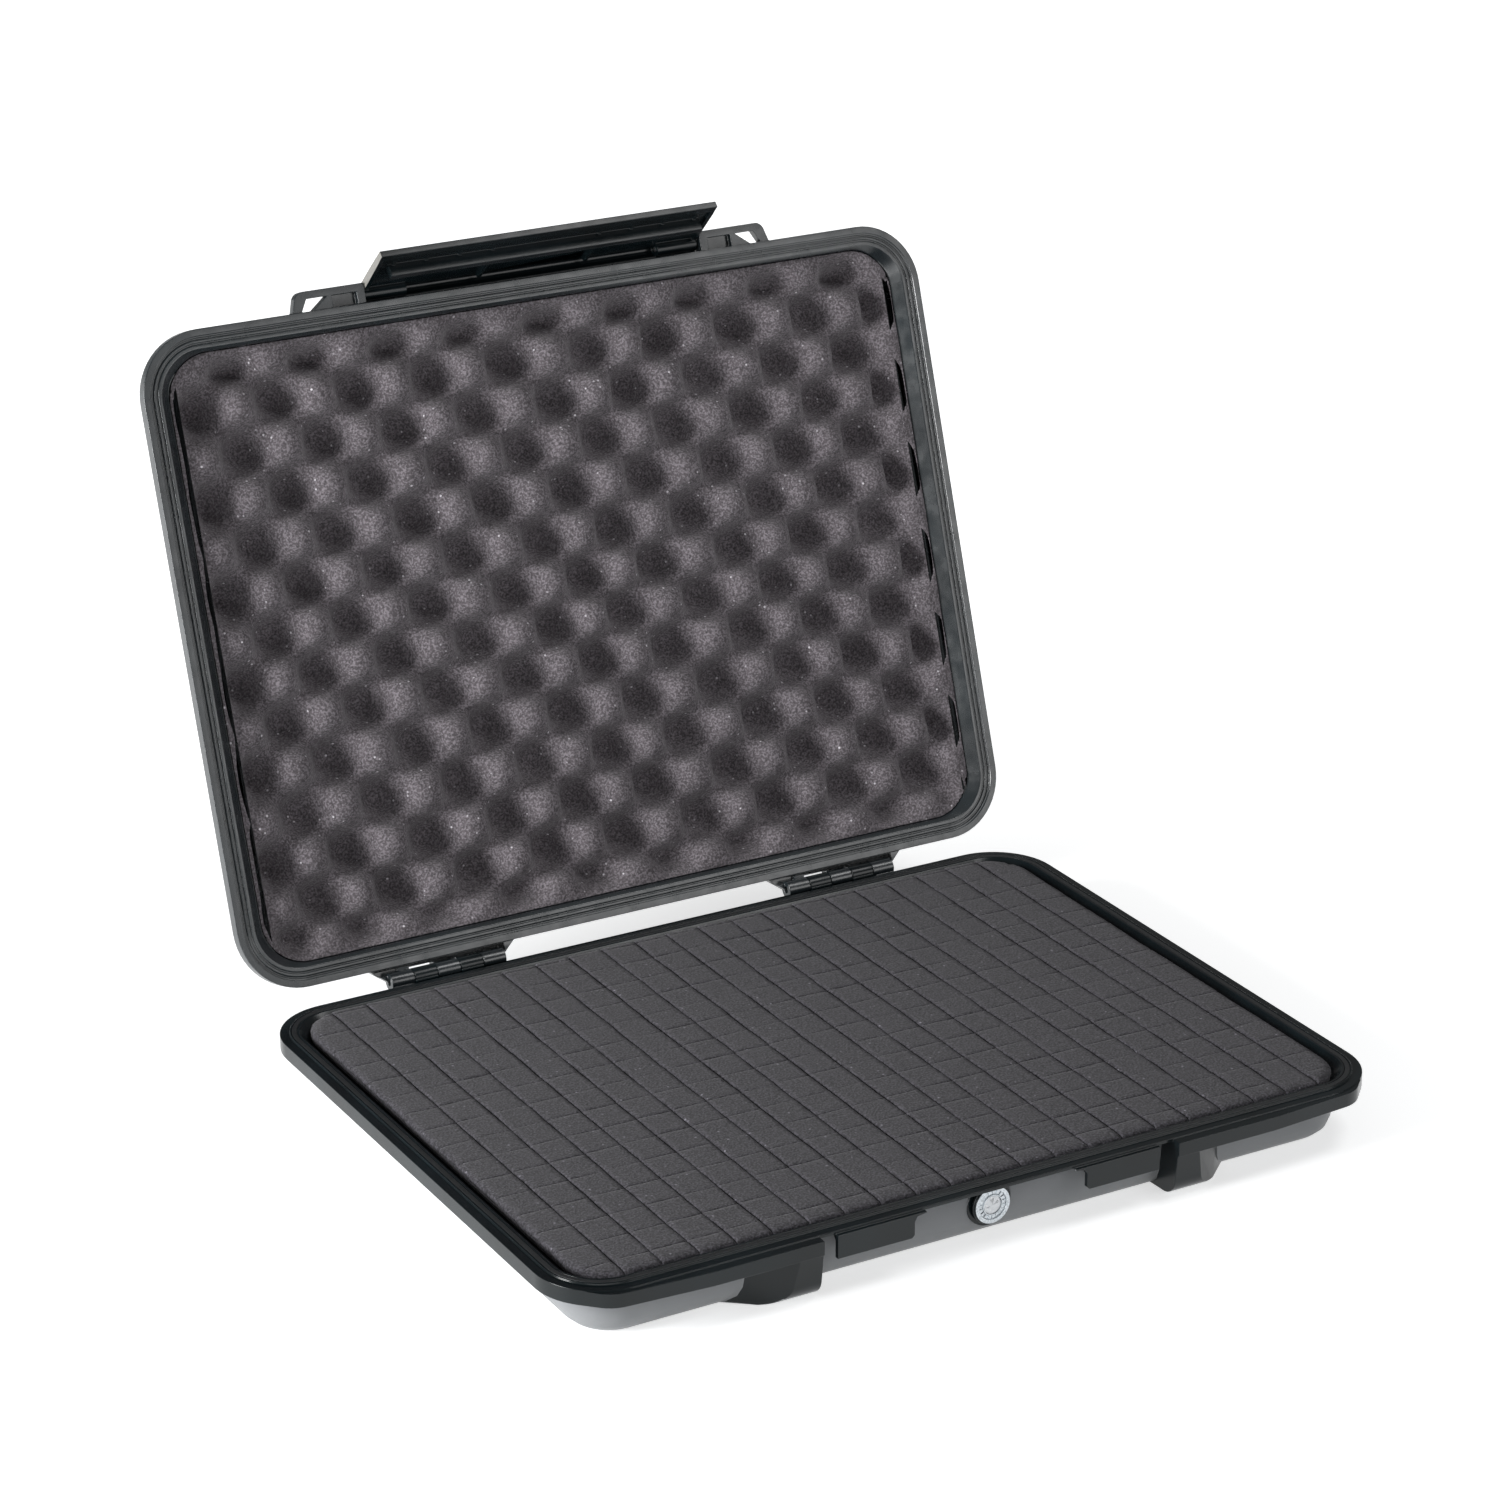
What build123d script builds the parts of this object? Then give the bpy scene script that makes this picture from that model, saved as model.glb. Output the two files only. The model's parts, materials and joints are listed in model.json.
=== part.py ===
from build123d import *
from math import atan2, ceil, cos, degrees, floor, radians, sin, tan
import os

# A flat hard case for a laptop: a base tub and a lid of about the same depth, joined by two
# pinned hinges at the back and held shut by one wide latch flap at the front.
#
# All sizes are in millimetres. +X is the right hand of someone facing the latch, +Y points
# to the hinges and +Z is up. The origin is the middle of the underside. The case rests with
# its lid leaning back on the hinge stops and its latch flap partly lifted, so lid pieces
# are drawn shut over the base and then turned about the hinge pins.

# ---------------------------------------------------------------------------------------
# Driving sizes
# ---------------------------------------------------------------------------------------

# Rims and walls, shared by base and lid
case_width = 389.0          # across the rims
case_depth = 289.0          # rim edge at the latch to rim edge at the hinges
rim_corner = 29.0           # plan radius of the rims
base_height = 28.0          # underside to the crest of the base rim
lid_height = 32.0           # rim of the lid to its top face
wall = 2.5                  # side walls
floor_thickness = 3.0       # floor of the base and roof of the lid
draft = 6.0                 # degrees that the side walls lean in
body_inset_x = 10.2         # rim edge in to the side walls, at the rim plane
body_inset_y = 7.3          # rim edge in to the front and back walls, at the rim plane
body_corner = 23.0          # plan radius of the walls, at the rim plane
outer_edge_radius = 9.0     # round edge of the underside and of the top
outer_edge_steps = 3        # flat steps that stand for the round edge
inner_edge_bevel = 5.0      # bevelled edge of the floor and of the roof, inside
base_flange_height = 7.7
lid_flange_height = 5.0
rim_gap = 0.3               # shut lid to base, rim to rim

# Rim sections, each measured in from the rim edge
base_band_width = 4.2       # low flat band round the base rim
base_band_drop = 0.9
seal_groove_start = 5.1
seal_groove_width = 2.4
seal_groove_depth = 2.2
mouth_inset = 8.5           # start of the slope that leads down to the walls
mouth_slope = 45.0          # degrees
lid_skirt_width = 3.1       # low lip round the lid that laps the base band
lid_skirt_drop = 0.6

# Seal
seal_side_clearance = 0.1

# Hinges
hinge_centre = 101.0        # middle of the case to the middle of a hinge
hinge_reach = 6.1           # rim edge out to the pin
hinge_drop = 1.0            # pin below the crest of the base rim
barrel_radius = 4.0
knuckle_count = 5           # the lid has the first, middle and last, the base the others
knuckle_length = 11.0
knuckle_gap = 0.25
arm_flare = 7.5             # how much wider the lid arms are at the rim than at the barrels
arm_lift = 0.3              # lid arms above the rim plane of the lid
arm_slot_start = 1.6        # rim edge out to the slots over the base knuckles
arm_pocket_start = 0.4      # rim edge out to the pockets over the lid knuckles
arm_pocket_height = 2.8
arm_pocket_depth = 1.5
arm_pockets = ((-5.6, 11.6), (0.8, 8.5), (0.0, 12.8))   # from each lid knuckle, and length
hinge_pin_radius = 1.5
hinge_pin_recess = 1.5      # ends of a pin inside the outer knuckles
pin_clearance = 0.05        # radial, in the knuckles that turn on a pin
open_angle = 108.8          # degrees, from shut to resting on the stops
stop_gap = 0.2
stop_height = 3.5

# Latch bay in the front of the base
bay_half_width = 84.0
lip_underside_drop = 2.5    # underside of the thin lip over the bay, below the rim crest
bay_cove_radius = 5.0
catch_side_gap = 7.5        # side of the bay to a catch
catch_width = 35.6
catch_reach = 1.8           # rim edge out to the face of a catch
catch_thickness = 2.2
catch_top_rise = 0.3        # top of a catch above the underside of the lip
catch_height = 10.4
catch_root = 3.0            # rim edge in to where a catch springs from the lip
catch_root_height = 2.5
catch_cove_length = 5.5     # run of the cove at the inner end of a catch
catch_cove_height = 3.2
catch_cove_edge = 0.6
catch_corner = 1.2

# Shoulders and fins beside the bay
shoulder_reach = 4.5        # rim edge out to the face of a shoulder
shoulder_top_drop = 1.4
shoulder_run = 10.5         # end of a fin to where the shoulder starts to fall back
shoulder_taper_inset = 18.5 # side of the case in to where the taper ends
shoulder_taper_reach = 1.4
shoulder_end_radius = 14.5
fin_step = 0.6              # face of a fin behind the face of its shoulder
fin_foot = 0.4              # fin above the underside
fin_lean = 7.0              # degrees that the face of a fin leans in
fin_toe_radius = 8.5
fin_width = 10.5            # full-depth part of a fin
fin_flare = 28.0            # sideways run of the fin back to the underside
fin_flare_knee = 9.0        # how far back the flare is halfway along

# Latch flap, drawn hanging down over the bay
flap_side_gap = 0.4         # flap to fin
flap_pivot_reach = 3.9      # rim edge out to the pins
flap_pivot_rise = 6.0       # pins above the rim plane of the lid
flap_barrel_radius = 3.3
flap_barrel_length = 20.6
flap_face_reach = 7.9       # rim edge out to the crown of the flap face
flap_face_bow = 0.8         # tip of the face behind its crown
flap_thickness = 2.5
flap_curl_thickness = 1.2   # web that curls round the pins from the top of the face
flap_length = 31.6          # pins down to the tip
flap_end_thickness = 2.4
flap_end_depth = 3.2
flap_end_slope = 2.0
flap_lip_height = 3.8
flap_lip_depth = 3.0
hook_thickness = 3.2
hook_gap = 0.3              # hook ledge below the catches
hook_reach = 1.0            # rim edge in to the edge of the hook
hook_overhang = 1.0         # hook beyond the catches
gusset_place = 26.7
gusset_thickness = 2.0
gusset_depth = 5.0
flap_rib_margin = 8.6       # end of the flap to the last rib
flap_rib_thickness = 1.6
flap_ribs_per_side = 4
latch_pin_radius = 1.25
latch_rest_angle = 26.0     # degrees that the flap is lifted when the case stands open

# Lugs and strap loops beside the flap, on the lid
lug_side_gap = 0.5
lug_thickness = 3.9
lug_radius = 4.2
loop_reach = 8.9            # rim edge out to the bar of a strap loop
loop_bar = 3.4
loop_length = 28.8          # lug to the end of the bar
loop_foot_spread = 3.0
loop_bottom_rise = 0.7      # above the rim plane of the lid
loop_corner_radius = 4.5
loop_hole_start = 14.5      # lug to the hole, along the bar
loop_hole_slant = 7.3       # by how much the hole is shorter at its foot
loop_post = 4.8
loop_pocket_length = 12.0
loop_pocket_depth = 3.0

# Pressure valve in the middle of the bay
valve_side_clearance = 0.55 # flange short of the free height between lip and floor
valve_seat_margin = 1.6     # flat seat outside, round the flange
valve_seat_proud = 0.6      # seat out of the wall, on the valve axis
valve_dish_margin = 0.4     # room cut in the wall above the seat, round the flange
valve_boss_margin = 0.2     # boss inside, round the flange
valve_boss_inside = 1.2     # boss into the case, on the valve axis
valve_shank_radius = 5.0
valve_hole_clearance = 0.1
valve_gasket_inset = 1.3    # gasket inside the edge of the flange
valve_gasket_thickness = 0.8
valve_flange_thickness = 1.2
valve_ring_inset = 0.7
valve_ring_thickness = 1.0
valve_vent_radius = 4.1
valve_vent_clearance = 0.1
valve_vent_thickness = 0.8
valve_nut_inset = 0.14      # corners of the nut inside the edge of the flange
valve_nut_thickness = 3.0
valve_shank_end = 0.5       # shank beyond the nut

# Foams
foam_clearance = 0.3
pad_thickness = 8.0
grid_proud = 1.0            # top of the scored foam above the base rim
lid_foam_recess = 2.5       # crests of the lid foam below the rim of the lid
crest_pitch_x = 38.6        # crests of the lid foam, in rows that are set off by half
crest_pitch_y = 39.84
crest_x = 22.8              # place of one crest
crest_y = -128.5
pit_margin = 2.4            # land between a pit and the next row of crests
pit_depth = 12.0
pit_slope = 25.0            # degrees

# ---------------------------------------------------------------------------------------
# Places worked out from the driving sizes
# ---------------------------------------------------------------------------------------
half_depth = case_depth / 2
front_edge = -half_depth
back_edge = half_depth
base_rim = base_height
lid_rim = base_rim + rim_gap
base_band = base_rim - base_band_drop
base_flange_bottom = base_rim - base_flange_height
lid_flange_top = lid_rim + lid_flange_height
overlap = 1.0               # how far joined features reach into each other

hinge_y = back_edge + hinge_reach
hinge_z = base_rim - hinge_drop
hinge_axis = Axis((0, hinge_y, hinge_z), (1, 0, 0))
knuckle_pitch = knuckle_length + knuckle_gap
hinge_length = knuckle_count * knuckle_pitch - knuckle_gap
hinge_start = hinge_centre - hinge_length / 2

flap_y = front_edge - flap_pivot_reach
flap_z = lid_rim + flap_pivot_rise
flap_axis = Axis((0, flap_y, flap_z), (1, 0, 0))
flap_half_width = bay_half_width - flap_side_gap
flap_barrel_start = flap_half_width - flap_barrel_length
lug_start = flap_half_width + lug_side_gap
lug_end = lug_start + lug_thickness

lip_underside = base_rim - lip_underside_drop
catch_end = bay_half_width - catch_side_gap
catch_start = catch_end - catch_width
catch_top = lip_underside + catch_top_rise
catch_underside = catch_top - catch_height
hook_top = catch_underside - hook_gap

# The valve fills the free height of the bay wall
valve_low = floor_thickness + inner_edge_bevel - valve_boss_inside
valve_height = (lip_underside + valve_low) / 2
valve_flange_radius = (lip_underside - valve_low) / 2 - valve_side_clearance
valve_seat_radius = valve_flange_radius + valve_seat_margin
valve_boss_radius = valve_flange_radius + valve_boss_margin
valve_gasket_radius = valve_flange_radius - valve_gasket_inset
valve_ring_radius = valve_flange_radius - valve_ring_inset
valve_nut_radius = valve_flange_radius - valve_nut_inset


def front_wall(z):
    """Y of the outer face of the drafted front wall of the base at height z."""
    return front_edge + body_inset_y + (base_rim - z) * tan(radians(draft))


def turned(y, z, degrees):
    """Turn a point about the hinge pins, from Y towards Z; it is given and returned
    relative to the pins."""
    angle = radians(degrees)
    return (y * cos(angle) - z * sin(angle), y * sin(angle) + z * cos(angle))


# ---------------------------------------------------------------------------------------
# Shapes used more than once; each adds to the part that is being built
# ---------------------------------------------------------------------------------------
def rim_block(z, inset_x, inset_y, corner, amount, taper=0.0, mode=Mode.ADD):
    """Extrude the rounded outline of the case, set in from the rim edge, from height z."""
    with BuildSketch(Plane.XY.offset(z)) as outline:
        RectangleRounded(case_width - 2 * inset_x, case_depth - 2 * inset_y, corner)
    extrude(outline.sketch, amount=amount, taper=taper, mode=mode)


def tub_block(z, way):
    """Extrude the drafted body of a half away from its rim at height z, up or down, and
    round its far edge in flat steps."""
    height = base_height if way < 0 else lid_height
    rise = height - outer_edge_radius * (1 - sin(radians(draft)))
    rim_block(z, body_inset_x, body_inset_y, body_corner, way * rise, taper=draft)
    level = z + way * rise
    inset = rise * tan(radians(draft))
    step = (90 - draft) / outer_edge_steps
    for count in range(outer_edge_steps):
        low = radians(draft + count * step)
        high = radians(draft + (count + 1) * step)
        run = outer_edge_radius * (cos(low) - cos(high))
        climb = outer_edge_radius * (sin(high) - sin(low))
        rim_block(
            level, body_inset_x + inset, body_inset_y + inset, body_corner - inset,
            way * climb, taper=degrees(atan2(run, climb)),
        )
        level += way * climb
        inset += run


def rim_ring(z, start, width, amount, mode=Mode.ADD):
    """Extrude a band that follows the rim, from start to start + width in from its edge."""
    end = start + width
    with BuildSketch(Plane.XY.offset(z)) as band:
        RectangleRounded(case_width - 2 * start, case_depth - 2 * start, rim_corner - start)
        RectangleRounded(
            case_width - 2 * end, case_depth - 2 * end, rim_corner - end, mode=Mode.SUBTRACT
        )
    extrude(band.sketch, amount=amount, mode=mode)


def side_section(x, length, points, mode=Mode.ADD):
    """Extrude a closed outline of (y, z) points along X, from x to x + length."""
    with BuildSketch(Plane.YZ.offset(x)) as section:
        with BuildLine():
            Polyline(*points, close=True)
        make_face()
    extrude(section.sketch, amount=length, mode=mode)


def front_section(y, depth, points, mode=Mode.ADD):
    """Extrude a closed outline of (x, z) points inwards along Y, from y to y + depth."""
    with BuildSketch(Plane.XZ.offset(-y)) as section:
        with BuildLine():
            Polyline(*points, close=True)
        make_face()
    extrude(section.sketch, amount=-depth, mode=mode)


def plan_section(z, height, points, mode=Mode.ADD):
    """Extrude a closed outline of (x, y) points upwards, from z to z + height."""
    with BuildSketch(Plane.XY.offset(z)) as section:
        with BuildLine():
            Polyline(*points, close=True)
        make_face()
    extrude(section.sketch, amount=height, mode=mode)


def rod_x(x, length, y, z, radius, mode=Mode.ADD):
    """Add or cut a cylinder along X, from x to x + length."""
    with BuildSketch(Plane.YZ.offset(x)) as circle:
        with Locations((y, z)):
            Circle(radius)
    extrude(circle.sketch, amount=length, mode=mode)


def rod_y(y, length, radius, mode=Mode.ADD):
    """Add or cut a cylinder on the valve axis, from y inwards to y + length."""
    with BuildSketch(Plane.XZ.offset(-y)) as circle:
        with Locations((0, valve_height)):
            Circle(radius)
    extrude(circle.sketch, amount=-length, mode=mode)


def save(piece, label):
    """Name a finished piece and write it."""
    piece.label = label
    export_step(piece, f"parts/{label}.step")


# ---------------------------------------------------------------------------------------
# Base shell
# ---------------------------------------------------------------------------------------
valve_wall = front_wall(valve_height)
valve_seat = valve_wall - valve_seat_proud
valve_inner_seat = valve_wall + wall + valve_boss_inside
shank_tip = valve_inner_seat + valve_nut_thickness + valve_shank_end
inner_x = body_inset_x + wall
inner_y = body_inset_y + wall
shoulder_face = front_edge - shoulder_reach
shoulder_face_end = bay_half_width + fin_width + fin_flare + shoulder_run
shoulder_taper_end = case_width / 2 - shoulder_taper_inset


def shoulder_corner():
    """Point where the tapering shoulder meets the round rim corner on its 45 degree line."""
    reach = rim_corner * cos(radians(45))
    return (case_width / 2 - rim_corner + reach, front_edge + rim_corner - reach)


# Right-hand shoulder, fin and catch, which the left-hand ones mirror
with BuildPart() as shoulder:
    plan_section(
        base_flange_bottom,
        base_flange_height - shoulder_top_drop,
        [
            (bay_half_width, front_edge + body_inset_y + overlap),
            (bay_half_width, shoulder_face),
            (shoulder_face_end, shoulder_face),
            (shoulder_taper_end, front_edge - shoulder_taper_reach),
            shoulder_corner(),
            (case_width / 2 - rim_corner, front_edge + body_inset_y + overlap),
        ],
    )
    bend = (shoulder_taper_end, front_edge - shoulder_taper_reach, base_rim)
    fillet(shoulder.edges().filter_by(Axis.Z).sort_by_distance(bend)[0], shoulder_end_radius)

with BuildPart() as fin:
    fin_face = shoulder_face + fin_step
    fin_top = base_flange_bottom + overlap
    fin_back = front_wall(0) + outer_edge_radius - 2 * overlap
    fin_toe = fin_face + (fin_top - fin_foot) * tan(radians(fin_lean))
    flare_start = bay_half_width + fin_width
    flare_end = flare_start + fin_flare
    with BuildSketch(Plane.YZ.offset(bay_half_width)) as fin_side:
        with BuildLine():
            Polyline(
                (fin_back, fin_top), (fin_face, fin_top), (fin_toe, fin_foot),
                (fin_back, fin_foot), close=True,
            )
        make_face()
        fillet(fin_side.vertices().sort_by_distance((fin_toe, fin_foot, 0))[0], fin_toe_radius)
    extrude(fin_side.sketch, amount=fin_width + fin_flare)
    plan_section(
        fin_foot,
        fin_top - fin_foot,
        [
            (bay_half_width, fin_back),
            (bay_half_width, fin_face),
            (flare_start, fin_face),
            ((flare_start + flare_end) / 2, fin_face + fin_flare_knee),
            (flare_end, fin_back),
        ],
        Mode.INTERSECT,
    )

with BuildPart() as catch:
    catch_face = front_edge - catch_reach
    catch_back = catch_face + catch_thickness
    front_section(
        catch_face,
        catch_thickness,
        [
            (catch_start - catch_cove_length, catch_top),
            (catch_start - catch_cove_length, catch_top - catch_cove_edge),
            (catch_start - catch_corner, catch_top - 2 * catch_cove_edge),
            (catch_start, catch_top - catch_cove_height),
            (catch_start, catch_underside + catch_corner),
            (catch_start + catch_corner, catch_underside),
            (catch_end, catch_underside),
            (catch_end, catch_top),
        ],
    )
    side_section(
        catch_start,
        catch_width,
        [
            (catch_back - overlap, catch_top),
            (front_edge + catch_root, catch_top),
            (front_edge + catch_root, lip_underside),
            (catch_back, lip_underside - catch_root_height),
            (catch_back - overlap, lip_underside - catch_root_height),
        ],
    )

with BuildPart() as base_shell:
    # Drafted tub and its flange
    tub_block(base_rim, -1)
    rim_block(base_flange_bottom, 0, 0, rim_corner, base_flange_height)
    # Latch bay: the flange is cut away up to a thin lip, with a cove where it meets the wall
    with BuildSketch(Plane.YZ.offset(-bay_half_width)) as bay:
        with BuildLine():
            Polyline(
                (front_edge - overlap, base_flange_bottom - overlap),
                (front_wall(base_flange_bottom - overlap), base_flange_bottom - overlap),
                (front_wall(lip_underside), lip_underside),
                (front_edge - overlap, lip_underside),
                close=True,
            )
        make_face()
        cove = bay.vertices().sort_by_distance((front_wall(lip_underside), lip_underside, 0))[0]
        fillet(cove, bay_cove_radius)
    extrude(bay.sketch, amount=2 * bay_half_width, mode=Mode.SUBTRACT)
    # Shoulders, fins and catches
    for right_hand in (shoulder, fin, catch):
        add(right_hand.part)
        add(mirror(right_hand.part, about=Plane.YZ, mode=Mode.PRIVATE))
    # Flat seat outside for the valve, with room for its flange under the lip
    rod_y(valve_seat, valve_wall + wall - valve_seat, valve_seat_radius)
    dish_radius = valve_flange_radius + valve_dish_margin
    rod_y(front_edge, valve_seat - front_edge, dish_radius, Mode.SUBTRACT)
    # Inside, with a sloping mouth and a bevelled floor edge
    rim_block(
        base_rim, inner_x, inner_y, body_corner - wall, floor_thickness - base_height,
        taper=draft, mode=Mode.SUBTRACT,
    )
    floor_face = base_shell.faces().sort_by_distance((0, 0, floor_thickness))[0]
    chamfer(floor_face.edges(), inner_edge_bevel)
    rim_block(
        base_rim, mouth_inset, mouth_inset, rim_corner - mouth_inset, mouth_inset - inner_x,
        taper=mouth_slope, mode=Mode.SUBTRACT,
    )
    # Flat boss inside for the nut
    rod_y(valve_wall + wall / 2, wall / 2 + valve_boss_inside, valve_boss_radius)
    # Rim section: a low outer band and the groove for the seal
    rim_ring(base_band, -overlap, base_band_width + overlap, base_flange_height, Mode.SUBTRACT)
    rim_ring(base_rim, seal_groove_start, seal_groove_width, -seal_groove_depth, Mode.SUBTRACT)
    # Hinge knuckles that belong to the base
    for side in (-1, 1):
        for knuckle in range(1, knuckle_count, 2):
            offset = hinge_start + knuckle * knuckle_pitch
            start = offset if side > 0 else -offset - knuckle_length
            rod_x(start, knuckle_length, hinge_y, hinge_z, barrel_radius)
            side_section(
                start,
                knuckle_length,
                [
                    (back_edge - overlap, base_flange_bottom),
                    (back_edge - overlap, base_band),
                    (hinge_y, hinge_z),
                    (hinge_y, hinge_z - barrel_radius),
                ],
            )
            bore = hinge_pin_radius + pin_clearance
            rod_x(start, knuckle_length, hinge_y, hinge_z, bore, Mode.SUBTRACT)
    # Hole for the valve
    hole = valve_shank_radius + valve_hole_clearance
    rod_y(valve_seat, valve_inner_seat - valve_seat, hole, Mode.SUBTRACT)

# ---------------------------------------------------------------------------------------
# Seal lying in the groove of the base rim
# ---------------------------------------------------------------------------------------
with BuildPart() as rim_seal:
    rim_ring(
        base_rim - seal_groove_depth,
        seal_groove_start + seal_side_clearance,
        seal_groove_width - 2 * seal_side_clearance,
        seal_groove_depth,
    )

# ---------------------------------------------------------------------------------------
# Lid shell, drawn shut
# ---------------------------------------------------------------------------------------
arm_start = hinge_start - arm_flare
arm_length = hinge_length + 2 * arm_flare

# Right-hand arms: one plate from the rim to the barrels, flared at the rim and slotted
# where the knuckles of the base come through
with BuildPart() as hinge_arms:
    side_section(
        arm_start,
        arm_length,
        [
            (back_edge - overlap, lid_rim + arm_lift),
            (back_edge - overlap, lid_flange_top),
            (hinge_y, hinge_z + barrel_radius),
            (hinge_y, hinge_z),
        ],
    )
    plan_section(
        hinge_z - barrel_radius,
        4 * barrel_radius,
        [
            (arm_start, back_edge - overlap),
            (arm_start + arm_length, back_edge - overlap),
            (arm_start + arm_length, back_edge),
            (hinge_start + hinge_length, hinge_y),
            (hinge_start, hinge_y),
            (arm_start, back_edge),
        ],
        Mode.INTERSECT,
    )
    pocket_back = back_edge + arm_pocket_start
    for count, (pocket_start, pocket_length) in enumerate(arm_pockets):
        side_section(
            hinge_start + 2 * count * knuckle_pitch + pocket_start,
            pocket_length,
            [
                (pocket_back, hinge_z - barrel_radius),
                (pocket_back, lid_rim + arm_lift + arm_pocket_depth),
                (pocket_back + arm_pocket_height, lid_rim + arm_lift + arm_pocket_depth),
                (pocket_back + arm_pocket_height, hinge_z - barrel_radius),
            ],
            Mode.SUBTRACT,
        )
    for knuckle in range(0, knuckle_count, 2):
        start = hinge_start + knuckle * knuckle_pitch
        rod_x(start, knuckle_length, hinge_y, hinge_z, barrel_radius)
        # Heel that rests against the flange of the base when the lid is open
        stop_face = stop_gap - hinge_reach
        heel = [
            turned(stop_face, -hinge_pin_radius, open_angle),
            turned(stop_face, -hinge_pin_radius - stop_height, open_angle),
            turned(-hinge_pin_radius, -barrel_radius, open_angle),
            turned(0, 0, open_angle),
        ]
        side_section(start, knuckle_length, [(hinge_y + y, hinge_z + z) for y, z in heel])
    for knuckle in range(1, knuckle_count, 2):
        start = hinge_start + knuckle * knuckle_pitch - knuckle_gap
        slot = knuckle_length + 2 * knuckle_gap
        side_section(
            start,
            slot,
            [
                (back_edge + arm_slot_start, lid_rim - barrel_radius),
                (back_edge + arm_slot_start, lid_flange_top),
                (hinge_y + 2 * barrel_radius, lid_flange_top),
                (hinge_y + 2 * barrel_radius, lid_rim - barrel_radius),
            ],
            Mode.SUBTRACT,
        )
    rod_x(hinge_start, hinge_length, hinge_y, hinge_z, hinge_pin_radius, Mode.SUBTRACT)

# Right-hand lug for the latch pin, with the strap loop that springs from it
loop_top = lid_flange_top
loop_bottom = lid_rim + loop_bottom_rise
loop_end = lug_end + loop_length
bar_back = front_edge - loop_reach + loop_bar
with BuildPart() as strap_loop:
    lug_back = front_edge + body_inset_y + overlap
    side_section(
        lug_start,
        lug_thickness,
        [
            (lug_back, lid_flange_top - overlap),
            (lug_back, flap_z + lug_radius - overlap),
            (flap_y, flap_z + lug_radius),
            (flap_y, flap_z - lug_radius),
            (front_edge, loop_bottom),
        ],
    )
    rod_x(lug_start, lug_thickness, flap_y, flap_z, lug_radius)
    plan_section(
        loop_bottom,
        loop_top - loop_bottom,
        [
            (lug_start, front_edge + overlap),
            (lug_start, front_edge - loop_reach),
            (loop_end, front_edge - loop_reach),
            (loop_end + loop_foot_spread, front_edge + overlap),
        ],
    )
    loop_corner = strap_loop.edges().filter_by(Axis.Z)
    fillet(
        loop_corner.sort_by_distance((loop_end, front_edge - loop_reach, loop_top))[0],
        loop_corner_radius,
    )
    plan_section(
        loop_bottom,
        loop_top - loop_bottom,
        [
            (lug_end + loop_hole_start + loop_hole_slant, front_edge),
            (lug_end + loop_hole_start, bar_back),
            (loop_end - loop_post, bar_back),
            (loop_end + loop_foot_spread - loop_post, front_edge),
        ],
        Mode.SUBTRACT,
    )
    plan_section(
        loop_bottom,
        loop_pocket_depth,
        [
            (lug_end, front_edge),
            (lug_end, bar_back),
            (lug_end + loop_pocket_length, bar_back),
            (lug_end + loop_pocket_length, front_edge),
        ],
        Mode.SUBTRACT,
    )
    rod_x(lug_start, lug_thickness, flap_y, flap_z, latch_pin_radius, Mode.SUBTRACT)

with BuildPart() as lid_shell:
    # Drafted tub and its flange
    tub_block(lid_rim, 1)
    rim_block(lid_rim, 0, 0, rim_corner, lid_flange_height)
    # Inside, with a sloping mouth and a bevelled roof edge
    rim_block(
        lid_rim, inner_x, inner_y, body_corner - wall, lid_height - floor_thickness,
        taper=draft, mode=Mode.SUBTRACT,
    )
    roof_z = lid_rim + lid_height - floor_thickness
    roof = lid_shell.faces().sort_by_distance((0, 0, roof_z))[0]
    chamfer(roof.edges(), inner_edge_bevel)
    rim_block(
        lid_rim, mouth_inset, mouth_inset, rim_corner - mouth_inset, inner_x - mouth_inset,
        taper=mouth_slope, mode=Mode.SUBTRACT,
    )
    # Rim section: a skirt that laps the base band
    rim_ring(lid_rim - lid_skirt_drop, 0, lid_skirt_width, lid_skirt_drop)
    # Hinge arms, lugs and strap loops
    add(hinge_arms.part)
    add(hinge_arms.part.moved(Location((-2 * hinge_centre, 0, 0))))
    add(strap_loop.part)
    add(mirror(strap_loop.part, about=Plane.YZ, mode=Mode.PRIVATE))

# ---------------------------------------------------------------------------------------
# Latch flap, drawn hanging over the bay
# ---------------------------------------------------------------------------------------
flap_tip = flap_z - flap_length
flap_crown_y = front_edge - flap_face_reach
flap_tip_y = flap_crown_y + flap_face_bow
flap_skin_y = flap_tip_y + overlap
lip_back = flap_tip_y + flap_lip_depth
end_back = flap_tip_y + flap_end_depth
hook_y = front_edge + hook_reach
hook_bottom = hook_top - hook_thickness
hook_end = catch_end + hook_overhang
curl_radius = flap_y - flap_crown_y
curl_inner = curl_radius - flap_curl_thickness
rib_pitch = (flap_half_width - flap_rib_margin - gusset_place) / (flap_ribs_per_side - 1)


def round_pin(radius, degrees_up):
    """Point at a radius from the latch pins, some degrees above the direction inwards."""
    angle = radians(degrees_up)
    return (flap_y + radius * cos(angle), flap_z + radius * sin(angle))


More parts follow.
